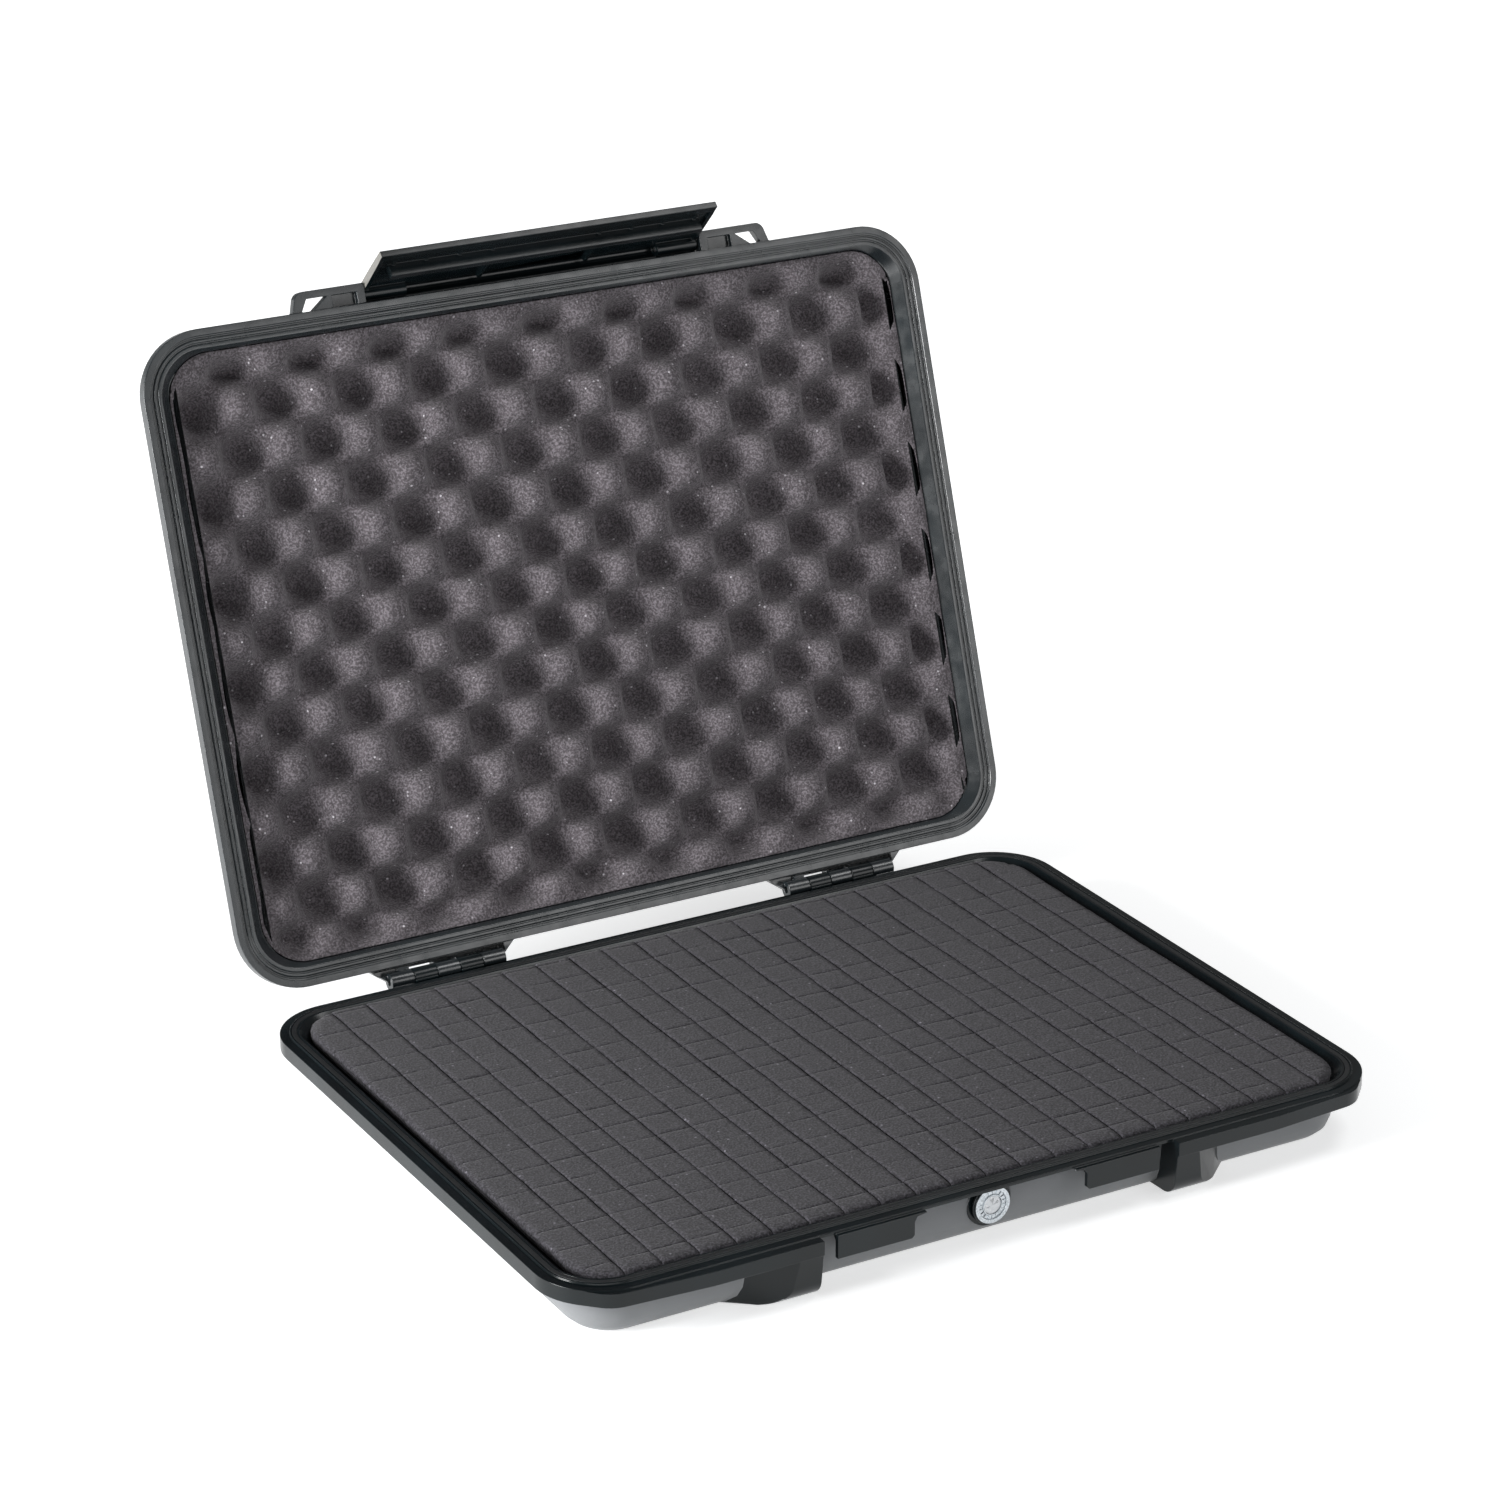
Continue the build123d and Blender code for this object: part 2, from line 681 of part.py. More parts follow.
with BuildPart() as latch_flap:
    # Bowed face, and the web that curls from its top round the pins
    with BuildSketch(Plane.YZ.offset(-flap_half_width)) as face_section:
        with BuildLine():
            TangentArc((flap_crown_y, flap_z), (flap_tip_y, flap_tip), tangent=(0, -1))
            Line((flap_tip_y, flap_tip), (flap_tip_y + flap_thickness, flap_tip))
            TangentArc(
                (flap_crown_y + flap_thickness, flap_z),
                (flap_tip_y + flap_thickness, flap_tip),
                tangent=(0, -1),
            )
            Line((flap_crown_y + flap_thickness, flap_z), (flap_crown_y, flap_z))
        make_face()
    extrude(face_section.sketch, amount=2 * flap_half_width)
    with BuildSketch(Plane.YZ.offset(-flap_half_width)) as curl_section:
        with BuildLine():
            ThreePointArc(
                round_pin(curl_radius, 180), round_pin(curl_radius, 90),
                round_pin(curl_radius, latch_rest_angle),
            )
            Line(round_pin(curl_radius, latch_rest_angle), round_pin(curl_inner, latch_rest_angle))
            ThreePointArc(
                round_pin(curl_inner, latch_rest_angle), round_pin(curl_inner, 90),
                round_pin(curl_inner, 180),
            )
            Line(round_pin(curl_inner, 180), round_pin(curl_radius, 180))
        make_face()
    extrude(curl_section.sketch, amount=2 * flap_half_width)
    # Finger lip along the tip and hook ledge under the catches
    finger_lip = [
        (flap_skin_y, flap_tip),
        (flap_skin_y, flap_tip + flap_lip_height),
        (lip_back, flap_tip + flap_lip_height),
        (lip_back, flap_tip),
    ]
    hook = [
        (flap_skin_y, hook_bottom),
        (flap_skin_y, hook_top),
        (hook_y, hook_top),
        (hook_y, hook_bottom),
    ]
    side_section(-flap_half_width, 2 * flap_half_width, finger_lip)
    side_section(-hook_end, 2 * hook_end, hook)
    # Closed ends, with the barrels that the pins go through
    end_plate = [
        (flap_skin_y, flap_tip),
        (lip_back, flap_tip),
        (lip_back, flap_tip + flap_lip_height),
        (end_back, flap_tip + flap_lip_height + flap_end_slope),
        (end_back, flap_z),
        (flap_skin_y, flap_z),
    ]
    gusset = [
        (flap_skin_y, hook_top),
        (flap_tip_y + gusset_depth, hook_top),
        (flap_y + overlap, flap_z - overlap),
        (flap_skin_y, flap_z),
    ]
    rib = [
        (flap_skin_y, flap_tip + flap_lip_height),
        (flap_skin_y, hook_bottom),
        (lip_back, hook_bottom),
        (lip_back - overlap, flap_tip + flap_lip_height),
    ]
    for side in (-1, 1):
        end_middle = side * (flap_half_width - flap_end_thickness / 2)
        side_section(end_middle - flap_end_thickness / 2, flap_end_thickness, end_plate)
        side_section(side * gusset_place - gusset_thickness / 2, gusset_thickness, gusset)
        for place in range(flap_ribs_per_side):
            rib_x = side * (gusset_place + place * rib_pitch)
            side_section(rib_x - flap_rib_thickness / 2, flap_rib_thickness, rib)
        barrel = side * (flap_half_width - flap_barrel_length / 2) - flap_barrel_length / 2
        rod_x(barrel, flap_barrel_length, flap_y, flap_z, flap_barrel_radius)
        bore = latch_pin_radius + pin_clearance
        rod_x(barrel, flap_barrel_length, flap_y, flap_z, bore, Mode.SUBTRACT)

# ---------------------------------------------------------------------------------------
# Pins
# ---------------------------------------------------------------------------------------
hinge_pins = {}
latch_pins = {}
hinge_pin_length = hinge_length - 2 * hinge_pin_recess
latch_pin_length = lug_end - flap_barrel_start
for side, name in ((-1, "left"), (1, "right")):
    with BuildPart() as hinge_pin:
        start = side * hinge_centre - hinge_pin_length / 2
        rod_x(start, hinge_pin_length, hinge_y, hinge_z, hinge_pin_radius)
    hinge_pins[name] = hinge_pin.part
    with BuildPart() as latch_pin:
        start = side * (flap_barrel_start + latch_pin_length / 2) - latch_pin_length / 2
        rod_x(start, latch_pin_length, flap_y, flap_z, latch_pin_radius)
    latch_pins[name] = latch_pin.part

# ---------------------------------------------------------------------------------------
# Pressure valve through the front wall, from the gasket outwards and then inside
# ---------------------------------------------------------------------------------------
gasket_front = valve_seat - valve_gasket_thickness
flange_front = gasket_front - valve_flange_thickness

with BuildPart() as valve_gasket:
    rod_y(gasket_front, valve_gasket_thickness, valve_gasket_radius)
    rod_y(gasket_front, valve_gasket_thickness, hole, Mode.SUBTRACT)

with BuildPart() as valve_body:
    rod_y(flange_front, valve_flange_thickness, valve_flange_radius)
    rod_y(gasket_front, shank_tip - gasket_front, valve_shank_radius)

with BuildPart() as valve_ring:
    rod_y(flange_front - valve_ring_thickness, valve_ring_thickness, valve_ring_radius)
    ring_hole = valve_vent_radius + valve_vent_clearance
    rod_y(flange_front - valve_ring_thickness, valve_ring_thickness, ring_hole, Mode.SUBTRACT)

with BuildPart() as valve_membrane:
    rod_y(flange_front - valve_vent_thickness, valve_vent_thickness, valve_vent_radius)

with BuildPart() as valve_nut:
    with BuildSketch(Plane.XZ.offset(-valve_inner_seat)) as hexagon:
        with Locations((0, valve_height)):
            RegularPolygon(valve_nut_radius, 6)
            Circle(valve_shank_radius, mode=Mode.SUBTRACT)
    extrude(hexagon.sketch, amount=-valve_nut_thickness)

# ---------------------------------------------------------------------------------------
# Foams
# ---------------------------------------------------------------------------------------
foam_x = inner_x + foam_clearance
foam_y = inner_y + foam_clearance
foam_corner = body_corner - wall - foam_clearance
pad_bottom = floor_thickness + foam_clearance
pad_top = pad_bottom + pad_thickness
grid_bottom = pad_top + foam_clearance
notch_radius = valve_boss_radius + foam_clearance
notch_depth = shank_tip + foam_clearance - valve_wall


def keep_between(low, high):
    """Trim the part being built to the heights between low and high."""
    with BuildSketch(Plane.XY.offset(low)) as slab:
        Rectangle(case_width, case_depth)
    extrude(slab.sketch, amount=high - low, mode=Mode.INTERSECT)


with BuildPart() as base_foam_pad:
    rim_block(base_rim, foam_x, foam_y, foam_corner, pad_bottom - base_rim, taper=draft)
    keep_between(pad_bottom, pad_top)
    chamfer(base_foam_pad.faces().sort_by(Axis.Z)[0].edges(), inner_edge_bevel)
    rod_y(valve_wall, notch_depth, notch_radius, Mode.SUBTRACT)

with BuildPart() as base_foam_grid:
    rim_block(base_rim, foam_x, foam_y, foam_corner, grid_bottom - base_rim, taper=draft)
    rim_block(base_rim, foam_x, foam_y, foam_corner, grid_proud)
    rod_y(valve_wall, notch_depth, notch_radius, Mode.SUBTRACT)

# Pits lie between the crests of the lid foam, wherever a whole one fits
pit_width = crest_pitch_x / 2 - pit_margin
pit_length = crest_pitch_y / 2 - pit_margin


def pit_places():
    """Middles of the pits: every other half pitch along rows half a pitch apart."""
    room_x = case_width / 2 - foam_x - crest_pitch_x / 4
    room_y = case_depth / 2 - foam_y - crest_pitch_y / 4
    half_x = crest_pitch_x / 2
    half_y = crest_pitch_y / 2
    places = []
    for row in range(ceil((-room_y - crest_y) / half_y), floor((room_y - crest_y) / half_y) + 1):
        first = ceil((-room_x - crest_x) / half_x)
        for column in range(first, floor((room_x - crest_x) / half_x) + 1):
            if (row + column) % 2:
                places.append((crest_x + column * half_x, crest_y + row * half_y))
    return places


with BuildPart() as lid_foam:
    foam_top = lid_rim + lid_height - floor_thickness - foam_clearance
    crest_z = lid_rim + lid_foam_recess
    rim_block(lid_rim, foam_x, foam_y, foam_corner, foam_top - lid_rim, taper=draft)
    keep_between(crest_z, foam_top)
    chamfer(lid_foam.faces().sort_by(Axis.Z)[-1].edges(), inner_edge_bevel)
    with BuildSketch(Plane.XY.offset(crest_z)) as pits:
        with Locations(*pit_places()):
            Rectangle(pit_width, pit_length)
    extrude(pits.sketch, amount=pit_depth, taper=pit_slope, mode=Mode.SUBTRACT)

# ---------------------------------------------------------------------------------------
# Put the lid side in its resting pose and write every piece
# ---------------------------------------------------------------------------------------


def opened(piece):
    """Turn a piece of the lid from shut to resting on the hinge stops."""
    return piece.rotate(hinge_axis, -open_angle)


def lifted(piece):
    """Turn the flap from hanging shut to partly lifted, then open it with the lid."""
    return opened(piece.rotate(flap_axis, -latch_rest_angle))


os.makedirs("parts", exist_ok=True)
save(base_shell.part, "base_shell")
save(rim_seal.part, "rim_seal")
save(opened(lid_shell.part), "lid_shell")
save(lifted(latch_flap.part), "latch_flap")
for name in ("left", "right"):
    save(opened(hinge_pins[name]), f"hinge_pin_{name}")
    save(opened(latch_pins[name]), f"latch_pin_{name}")
save(base_foam_pad.part, "base_foam_pad")
save(base_foam_grid.part, "base_foam_grid")
save(opened(lid_foam.part), "lid_foam")
save(valve_body.part, "valve_body")
save(valve_gasket.part, "valve_gasket")
save(valve_ring.part, "valve_ring")
save(valve_membrane.part, "valve_membrane")
save(valve_nut.part, "valve_nut")
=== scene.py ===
"""Looks of an open laptop hard case: satin black mouldings, a convoluted lid foam, a scored
base foam, a rubber seal, steel pins and a pressure valve, in a plain white studio."""
import json
import logging
from dataclasses import dataclass, field
from enum import Enum
from math import cos, pi, radians, sin
from typing import Callable, Iterable, Sequence

import bpy
from mathutils import Matrix, Vector, noise


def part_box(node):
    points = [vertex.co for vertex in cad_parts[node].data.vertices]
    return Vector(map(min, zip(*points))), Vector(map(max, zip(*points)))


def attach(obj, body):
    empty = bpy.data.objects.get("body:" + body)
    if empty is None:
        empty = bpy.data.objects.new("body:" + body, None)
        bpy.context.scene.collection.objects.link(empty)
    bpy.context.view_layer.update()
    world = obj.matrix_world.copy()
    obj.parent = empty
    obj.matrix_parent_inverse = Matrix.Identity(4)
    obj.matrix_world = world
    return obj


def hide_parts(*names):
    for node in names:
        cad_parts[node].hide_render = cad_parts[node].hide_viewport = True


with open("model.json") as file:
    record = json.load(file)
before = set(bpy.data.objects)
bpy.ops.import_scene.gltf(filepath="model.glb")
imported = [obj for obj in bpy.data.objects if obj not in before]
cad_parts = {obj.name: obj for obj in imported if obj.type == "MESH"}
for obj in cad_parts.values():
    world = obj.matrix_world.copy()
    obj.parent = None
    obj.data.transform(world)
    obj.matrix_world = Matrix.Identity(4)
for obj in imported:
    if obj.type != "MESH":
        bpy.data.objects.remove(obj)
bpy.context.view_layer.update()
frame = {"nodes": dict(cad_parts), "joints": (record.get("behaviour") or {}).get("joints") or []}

MM = 0.001

logging.basicConfig(level=logging.INFO, format="%(message)s")
log = logging.getLogger("case")

Vec3 = tuple[float, float, float]


# ---------------------------------------------------------------------------------------
# Names and sizes that several pieces share
# ---------------------------------------------------------------------------------------
class Body(Enum):
    """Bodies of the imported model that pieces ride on."""

    BASE = "base"
    LID = "lid"
    LATCH = "latch"


class Slot(Enum):
    """Material slots of the record."""

    SHELL = "shell"
    SEAL = "seal"
    PIN = "pin"
    BASE_FOAM = "base_foam"
    LID_FOAM = "lid_foam"
    RING = "valve_ring"
    MEMBRANE = "membrane"


@dataclass(frozen=True)
class Hinge:
    """The hinge line of the lid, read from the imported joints."""

    centre: Vec3
    open_angle: float

    @classmethod
    def of_lid(cls) -> "Hinge":
        """Find the joint that carries the lid."""
        joint = next(j for j in frame["joints"] if j["child"] == Body.LID.value)
        return cls(tuple(joint["pos_m"]), radians(max(joint["range_deg"])))

    def shut(self, mesh_object: bpy.types.Object) -> None:
        """Turn a resting lid piece down over the base, where its sizes are easy to read."""
        Bench.turn_mesh(mesh_object, self.open_angle, "X", self.centre)

    def opened(self, mesh_object: bpy.types.Object) -> None:
        """Turn a piece from the shut lid to where the lid rests."""
        Bench.turn_mesh(mesh_object, -self.open_angle, "X", self.centre)


# ---------------------------------------------------------------------------------------
# Modelling verbs
# ---------------------------------------------------------------------------------------
class Bench:
    """Modelling steps on one active object, each as it would be done by hand."""

    @staticmethod
    def pick(target: bpy.types.Object) -> bpy.types.Object:
        """Make an object the only selected and active one."""
        bpy.ops.object.select_all(action="DESELECT")
        target.select_set(True)
        bpy.context.view_layer.objects.active = target
        return target

    @classmethod
    def edit(cls, target: bpy.types.Object, mode: str = "FACE") -> None:
        """Open an object in edit mode with nothing selected."""
        cls.pick(target)
        bpy.ops.object.mode_set(mode="EDIT")
        bpy.ops.mesh.select_mode(type=mode)
        bpy.ops.mesh.select_all(action="DESELECT")

    @staticmethod
    def done() -> None:
        """Leave edit mode."""
        bpy.ops.object.mode_set(mode="OBJECT")

    @classmethod
    def choose(cls, target: bpy.types.Object, keep: Callable[[Vector], bool], mode: str) -> int:
        """Select the vertices, edges or faces whose middle passes a test.

        Args:
            target: object in edit mode.
            keep: test of an element's middle point.
            mode: "VERT", "EDGE" or "FACE".

        Returns:
            How many elements were selected.
        """
        bpy.ops.object.mode_set(mode="OBJECT")
        mesh = target.data
        count = 0
        for element in {"VERT": mesh.vertices, "EDGE": mesh.edges, "FACE": mesh.polygons}[mode]:
            if mode == "VERT":
                middle = element.co
            elif mode == "EDGE":
                ends = [mesh.vertices[i].co for i in element.vertices]
                middle = (ends[0] + ends[1]) / 2
            else:
                middle = element.center
            element.select = keep(middle)
            count += element.select
        bpy.ops.object.mode_set(mode="EDIT")
        bpy.ops.mesh.select_mode(type=mode)
        return count

    @classmethod
    def weld(cls, target: bpy.types.Object, flatten: float = 0.4) -> None:
        """Join loose triangles into whole faces, with outward normals.

        Args:
            target: object with separate triangles.
            flatten: largest angle in degrees between faces that are taken as one.
        """
        cls.edit(target, "VERT")
        bpy.ops.mesh.select_all(action="SELECT")
        bpy.ops.mesh.remove_doubles(threshold=2e-6)
        bpy.ops.mesh.dissolve_limited(angle_limit=radians(flatten))
        bpy.ops.mesh.normals_make_consistent(inside=False)
        cls.done()

    @classmethod
    def modify(cls, target: bpy.types.Object, kind: str, **settings) -> None:
        """Add one modifier with its settings and apply it.

        Args:
            target: object to change.
            kind: modifier type.
            **settings: attributes of the modifier.
        """
        cls.pick(target)
        bpy.ops.object.modifier_add(type=kind)
        modifier = target.modifiers[-1]
        for name, value in settings.items():
            setattr(modifier, name, value)
        bpy.ops.object.modifier_apply(modifier=modifier.name)

    @classmethod
    def round_edges(cls, target: bpy.types.Object, width: float, steps: int = 2) -> None:
        """Round the sharp edges of a moulding and shade it smooth.

        Args:
            target: welded object.
            width: size of the rounding, in metres.
            steps: segments across the rounding.
        """
        cls.modify(
            target, "BEVEL", width=width, segments=steps, limit_method="ANGLE",
            angle_limit=radians(32), use_clamp_overlap=False, loop_slide=False,
        )
        cls.smooth(target)

    @classmethod
    def smooth(cls, target: bpy.types.Object, angle: float = 42.0) -> None:
        """Shade smooth up to an angle, with large faces kept flat."""
        cls.pick(target)
        bpy.ops.object.shade_smooth_by_angle(angle=radians(angle))
        cls.modify(target, "WEIGHTED_NORMAL", keep_sharp=True)

    @classmethod
    def turn_mesh(cls, target: bpy.types.Object, angle: float, axis: str, centre: Vec3) -> None:
        """Turn a whole mesh about a point."""
        cls.edit(target, "VERT")
        bpy.ops.mesh.select_all(action="SELECT")
        bpy.ops.transform.rotate(
            value=-angle, orient_axis=axis, orient_type="GLOBAL", center_override=centre
        )
        cls.done()

    @classmethod
    def combine(cls, target: bpy.types.Object, tool: bpy.types.Object, how: str) -> None:
        """Cut an object with a tool, which is then deleted.

        Args:
            target: object to change.
            tool: closed object.
            how: "INTERSECT" keeps what lies inside the tool, "DIFFERENCE" what lies outside.
        """
        cls.modify(target, "BOOLEAN", operation=how, object=tool, solver="EXACT")
        bpy.data.objects.remove(tool)


def copy_of(node: str, name: str) -> bpy.types.Object:
    """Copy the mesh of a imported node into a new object.

    Args:
        node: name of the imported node.
        name: name of the new object.

    Returns:
        The welded copy, in the place of the node.
    """
    copy = bpy.data.objects.new(name, frame["nodes"][node].data.copy())
    copy.data.name = name
    copy.data.materials.clear()
    bpy.context.scene.collection.objects.link(copy)
    Bench.weld(copy)
    return copy


@dataclass(frozen=True)
class RoundedOutline:
    """A rectangle with round corners, and the prisms and rings drawn from it."""

    half_x: float
    half_y: float
    corner: float
    corner_steps: int = 14

    def plate(self, name: str, inset: float, level: float) -> bpy.types.Object:
        """Lay a flat plate with round corners.

        Args:
            name: name of the plate.
            inset: how far it lies inside the outline.
            level: height of the plate.

        Returns:
            The plate, in edit mode with its face selected.
        """
        bpy.ops.object.select_all(action="DESELECT")
        bpy.ops.mesh.primitive_plane_add(size=2, location=(0, 0, level))
        plate = bpy.context.active_object
        plate.name = plate.data.name = name
        bpy.ops.transform.resize(value=(self.half_x - inset, self.half_y - inset, 1))
        bpy.ops.object.transform_apply(location=True, rotation=True, scale=True)
        Bench.edit(plate, "VERT")
        bpy.ops.mesh.select_all(action="SELECT")
        bpy.ops.mesh.bevel(
            offset=self.corner - inset, segments=self.corner_steps, affect="VERTICES"
        )
        bpy.ops.mesh.select_mode(type="FACE")
        bpy.ops.mesh.select_all(action="SELECT")
        return plate

    def prism(self, name: str, low: float, high: float, lean: float,
              far_bevel: float) -> bpy.types.Object:
        """Raise the outline into a block.

        Args:
            name: name of the block.
            low: height of its near face.
            high: height of its far face.
            lean: how far the far face is smaller on each side.
            far_bevel: bevel round the far face.

        Returns:
            The closed block.
        """
        block = self.plate(name, 0.0, low)
        bpy.ops.mesh.extrude_region_move(TRANSFORM_OT_translate={"value": (0, 0, high - low)})
        bpy.ops.transform.resize(
            value=(1 - lean / self.half_x, 1 - lean / self.half_y, 1),
            center_override=(0, 0, high),
        )
        bpy.ops.mesh.bevel(offset=far_bevel, segments=1, affect="EDGES")
        bpy.ops.mesh.select_all(action="SELECT")
        bpy.ops.mesh.normals_make_consistent(inside=False)
        Bench.done()
        return block

    def ring(self, name: str, inset: float, width: float, low: float,
             high: float) -> bpy.types.Object:
        """Raise a band that follows the outline.

        Args:
            name: name of the band.
            inset: outer edge of the band inside the outline.
            width: width of the band.
            low: height of its lower face.
            high: height of its upper face.

        Returns:
            The closed band.
        """
        band = self.plate(name, inset, low)
        bpy.ops.mesh.inset(thickness=width, depth=0)
        bpy.ops.mesh.delete(type="FACE")
        bpy.ops.mesh.select_all(action="SELECT")
        bpy.ops.mesh.extrude_region_move(TRANSFORM_OT_translate={"value": (0, 0, high - low)})
        bpy.ops.mesh.select_all(action="SELECT")
        bpy.ops.mesh.normals_make_consistent(inside=False)
        Bench.done()
        return band


# ---------------------------------------------------------------------------------------
# Finishes
# ---------------------------------------------------------------------------------------
def to_linear(code: str) -> tuple[float, float, float, float]:
    """Turn an sRGB hex colour into linear RGBA."""
    channels = [int(code[i:i + 2], 16) / 255 for i in (1, 3, 5)]
    linear = [c / 12.92 if c <= 0.04045 else ((c + 0.055) / 1.055) ** 2.4 for c in channels]
    return (*linear, 1.0)


class Graph:
    """A material's node tree with short ways to add and join nodes."""

    def __init__(self, name: str) -> None:
        """Start a material that holds only a shader and its output."""
        self.material = bpy.data.materials.new(name)
        self.material.use_nodes = True
        self.tree = self.material.node_tree
        self.shader = self.tree.nodes["Principled BSDF"]

    def add(self, kind: str, settings: dict | None = None, **links) -> bpy.types.Node:
        """Add a node, set its attributes and fill its inputs.

        Args:
            kind: node type without the ShaderNode prefix.
            settings: attributes of the node.
            **links: values or output sockets by input name, with _ for a space.

        Returns:
            The new node.
        """
        node = self.tree.nodes.new("ShaderNode" + kind)
        for attribute, value in (settings or {}).items():
            setattr(node, attribute, value)
        for key, value in links.items():
            self.feed(node, key.replace("_", " "), value)
        return node

    def feed(self, node: bpy.types.Node, key: str, value) -> None:
        """Set or link one input of a node, by its name or its place."""
        socket = node.inputs[int(key[1:])] if key[1:].isdigit() else node.inputs[key]
        if isinstance(value, bpy.types.NodeSocket):
            self.tree.links.new(value, socket)
        else:
            socket.default_value = value

    def place(self, scale: Vec3 = (1.0, 1.0, 1.0)) -> bpy.types.NodeSocket:
        """Coordinates in metres on the object, stretched by a scale."""
        coordinates = self.add("TexCoord").outputs["Object"]
        return self.add("Mapping", Vector=coordinates, Scale=scale).outputs["Vector"]

    def noise(self, size: float, detail: float = 2.0, roughness: float = 0.5,
              stretch: Vec3 = (1.0, 1.0, 1.0)) -> bpy.types.NodeSocket:
        """Noise whose features are about size metres across."""
        return self.add(
            "TexNoise", Vector=self.place(stretch), Scale=1 / size, Detail=detail,
            Roughness=roughness,
        ).outputs["Fac"]

    def ramp(self, value: bpy.types.NodeSocket, low: float, high: float,
             start: float = 0.0, end: float = 1.0) -> bpy.types.NodeSocket:
        """Map a range of a value to another range, clamped."""
        node = self.add("MapRange", {"clamp": True}, Value=value)
        for key, number in (("From Min", low), ("From Max", high), ("To Min", start), ("To Max", end)):
            node.inputs[key].default_value = number
        return node.outputs["Result"]

    def blend(self, amount: bpy.types.NodeSocket, first, second) -> bpy.types.NodeSocket:
        """Mix two colours, each a hex code or a socket, by an amount."""
        node = self.add("Mix", {"data_type": "RGBA"})
        self.tree.links.new(amount, node.inputs["Factor"])
        colours = [to_linear(c) if isinstance(c, str) else c for c in (first, second)]
        for socket, colour in zip((node.inputs[6], node.inputs[7]), colours):
            if isinstance(colour, bpy.types.NodeSocket):
                self.tree.links.new(colour, socket)
            else:
                socket.default_value = colour
        return node.outputs[2]

    def bumps(self, layers: Sequence[tuple[bpy.types.NodeSocket, float, float]]) -> None:
        """Feed the shader's normal through a chain of bumps.

        Args:
            layers: height socket, strength and distance in metres of each bump.
        """
        normal = None
        for height, strength, distance in layers:
            node = self.add("Bump", Height=height, Strength=strength, Distance=distance)
            if normal is not None:
                self.tree.links.new(normal, node.inputs["Normal"])
            normal = node.outputs["Normal"]
        self.tree.links.new(normal, self.shader.inputs["Normal"])

    def surface(self, **values) -> None:
        """Set or link inputs of the shader, with _ for a space."""
        for key, value in values.items():
            if isinstance(value, str):
                value = to_linear(value)
            self.feed(self.shader, key.replace("_", " "), value)


@dataclass(frozen=True)
class MouldedPlastic:
    """Injection-moulded ABS. The polished tool leaves rims, catches and flap glossy, and the
    spark-eroded tool leaves the walls with a fine matt grain that catches more light."""

    name: str
    colour: str
    lighter: str
    roughness: tuple[float, float]
    grain: float            # size of the grain, in metres
    grain_height: float
    mirror: float = 0.5     # specular level
    painted_floor_light: str = ""          # painted floor light: colour the wall turns towards the table, standing in for light from the bright table
    painted_floor_light_top: float = 21.0 * MM
    painted_floor_light_bottom: float = 2.0 * MM

    def material(self) -> bpy.types.Material:
        """Build the plastic: faint colour drift, uneven gloss, a fine grain and, where given, painted
        floor light near the table.
        """
        graph = Graph(self.name)
        drift = graph.noise(34 * MM, 2.0)
        colour = graph.blend(graph.ramp(drift, 0.35, 0.65), self.colour, self.lighter)
        # Painted floor light: the colour turns paler towards the table over the lowest part of the
        # wall, standing in for light thrown up by the white table.
        if self.painted_floor_light:
            height = graph.add("SeparateXYZ", Vector=graph.place()).outputs["Z"]
            painted_floor_share = graph.ramp(height, self.painted_floor_light_bottom, self.painted_floor_light_top, 1.0, 0.0)
            colour = graph.blend(painted_floor_share, colour, self.painted_floor_light)
        graph.surface(
            Base_Color=colour,
            Roughness=graph.ramp(graph.noise(7 * MM, 4.0), 0.3, 0.7, *self.roughness),
            IOR=1.53,
            Specular_IOR_Level=self.mirror,
        )
        graph.bumps([
            (graph.noise(45 * MM, 1.0), 0.10, 0.6 * MM),
            (graph.noise(self.grain, 3.0, 0.6), 0.5, self.grain_height),
        ])
        return graph.material


@dataclass(frozen=True)
class OpenCellFoam:
    """Polyurethane foam cut by a hot wire or knife. The open cells give a dark fuzzy surface with
    painted shade in their low parts, and fine bright grains are painted on random cells as glints of
    cell walls that face the light."""

    name: str
    colour: str
    deep: str
    speck: str
    glint: str
    cell: float             # size of a cell cluster, in metres
    speck_limit: float      # share of the cell walls that stay dull
    relief: float

    def material(self) -> bpy.types.Material:
        """Build the foam: clustered cells with painted shade, painted glints and a rough bump."""
        graph = Graph(self.name)
        clusters = graph.noise(self.cell, 4.0, 0.65)
        patches = graph.noise(26 * MM, 3.0)
        # Painted shade: the foam is darker where the cluster bump is low, as shade in the pores; the
        # larger patches on the next line are random tone.
        body = graph.blend(graph.ramp(clusters, 0.33, 0.67), self.deep, self.colour)
        body = graph.blend(graph.ramp(patches, 0.4, 0.75, 0.0, 0.35), body, self.deep)
        # Cells are nearer 0.5 mm across, and are drawn a little coarser so that they show
        salt = graph.ramp(graph.noise(0.95 * MM, 1.0, 0.5), 0.42, 0.66, 0.0, 0.55)
        body = graph.blend(salt, body, self.speck)
        # Painted glints: a bright colour on a random share of small cells stands in for cell walls
        # that catch the light.
        walls = graph.add("TexVoronoi", Vector=graph.place(), Scale=1 / (2.1 * MM))
        dot = graph.ramp(walls.outputs["Distance"], 0.16, 0.30, 1.0, 0.0)
        chosen = graph.add("SeparateXYZ", Vector=walls.outputs["Color"]).outputs["X"]
        facing = graph.ramp(chosen, self.speck_limit, self.speck_limit + 0.06)
        painted_glint = graph.add("Math", {"operation": "MULTIPLY"}, i0=dot, i1=facing).outputs[0]
        graph.surface(
            Base_Color=graph.blend(painted_glint, body, self.glint),
            Roughness=0.94,
            IOR=1.4,
            Sheen_Weight=0.12,
            Sheen_Roughness=0.6,
        )
        graph.bumps([(clusters, 0.55, self.relief), (salt, 0.4, 0.25 * MM)])
        return graph.material


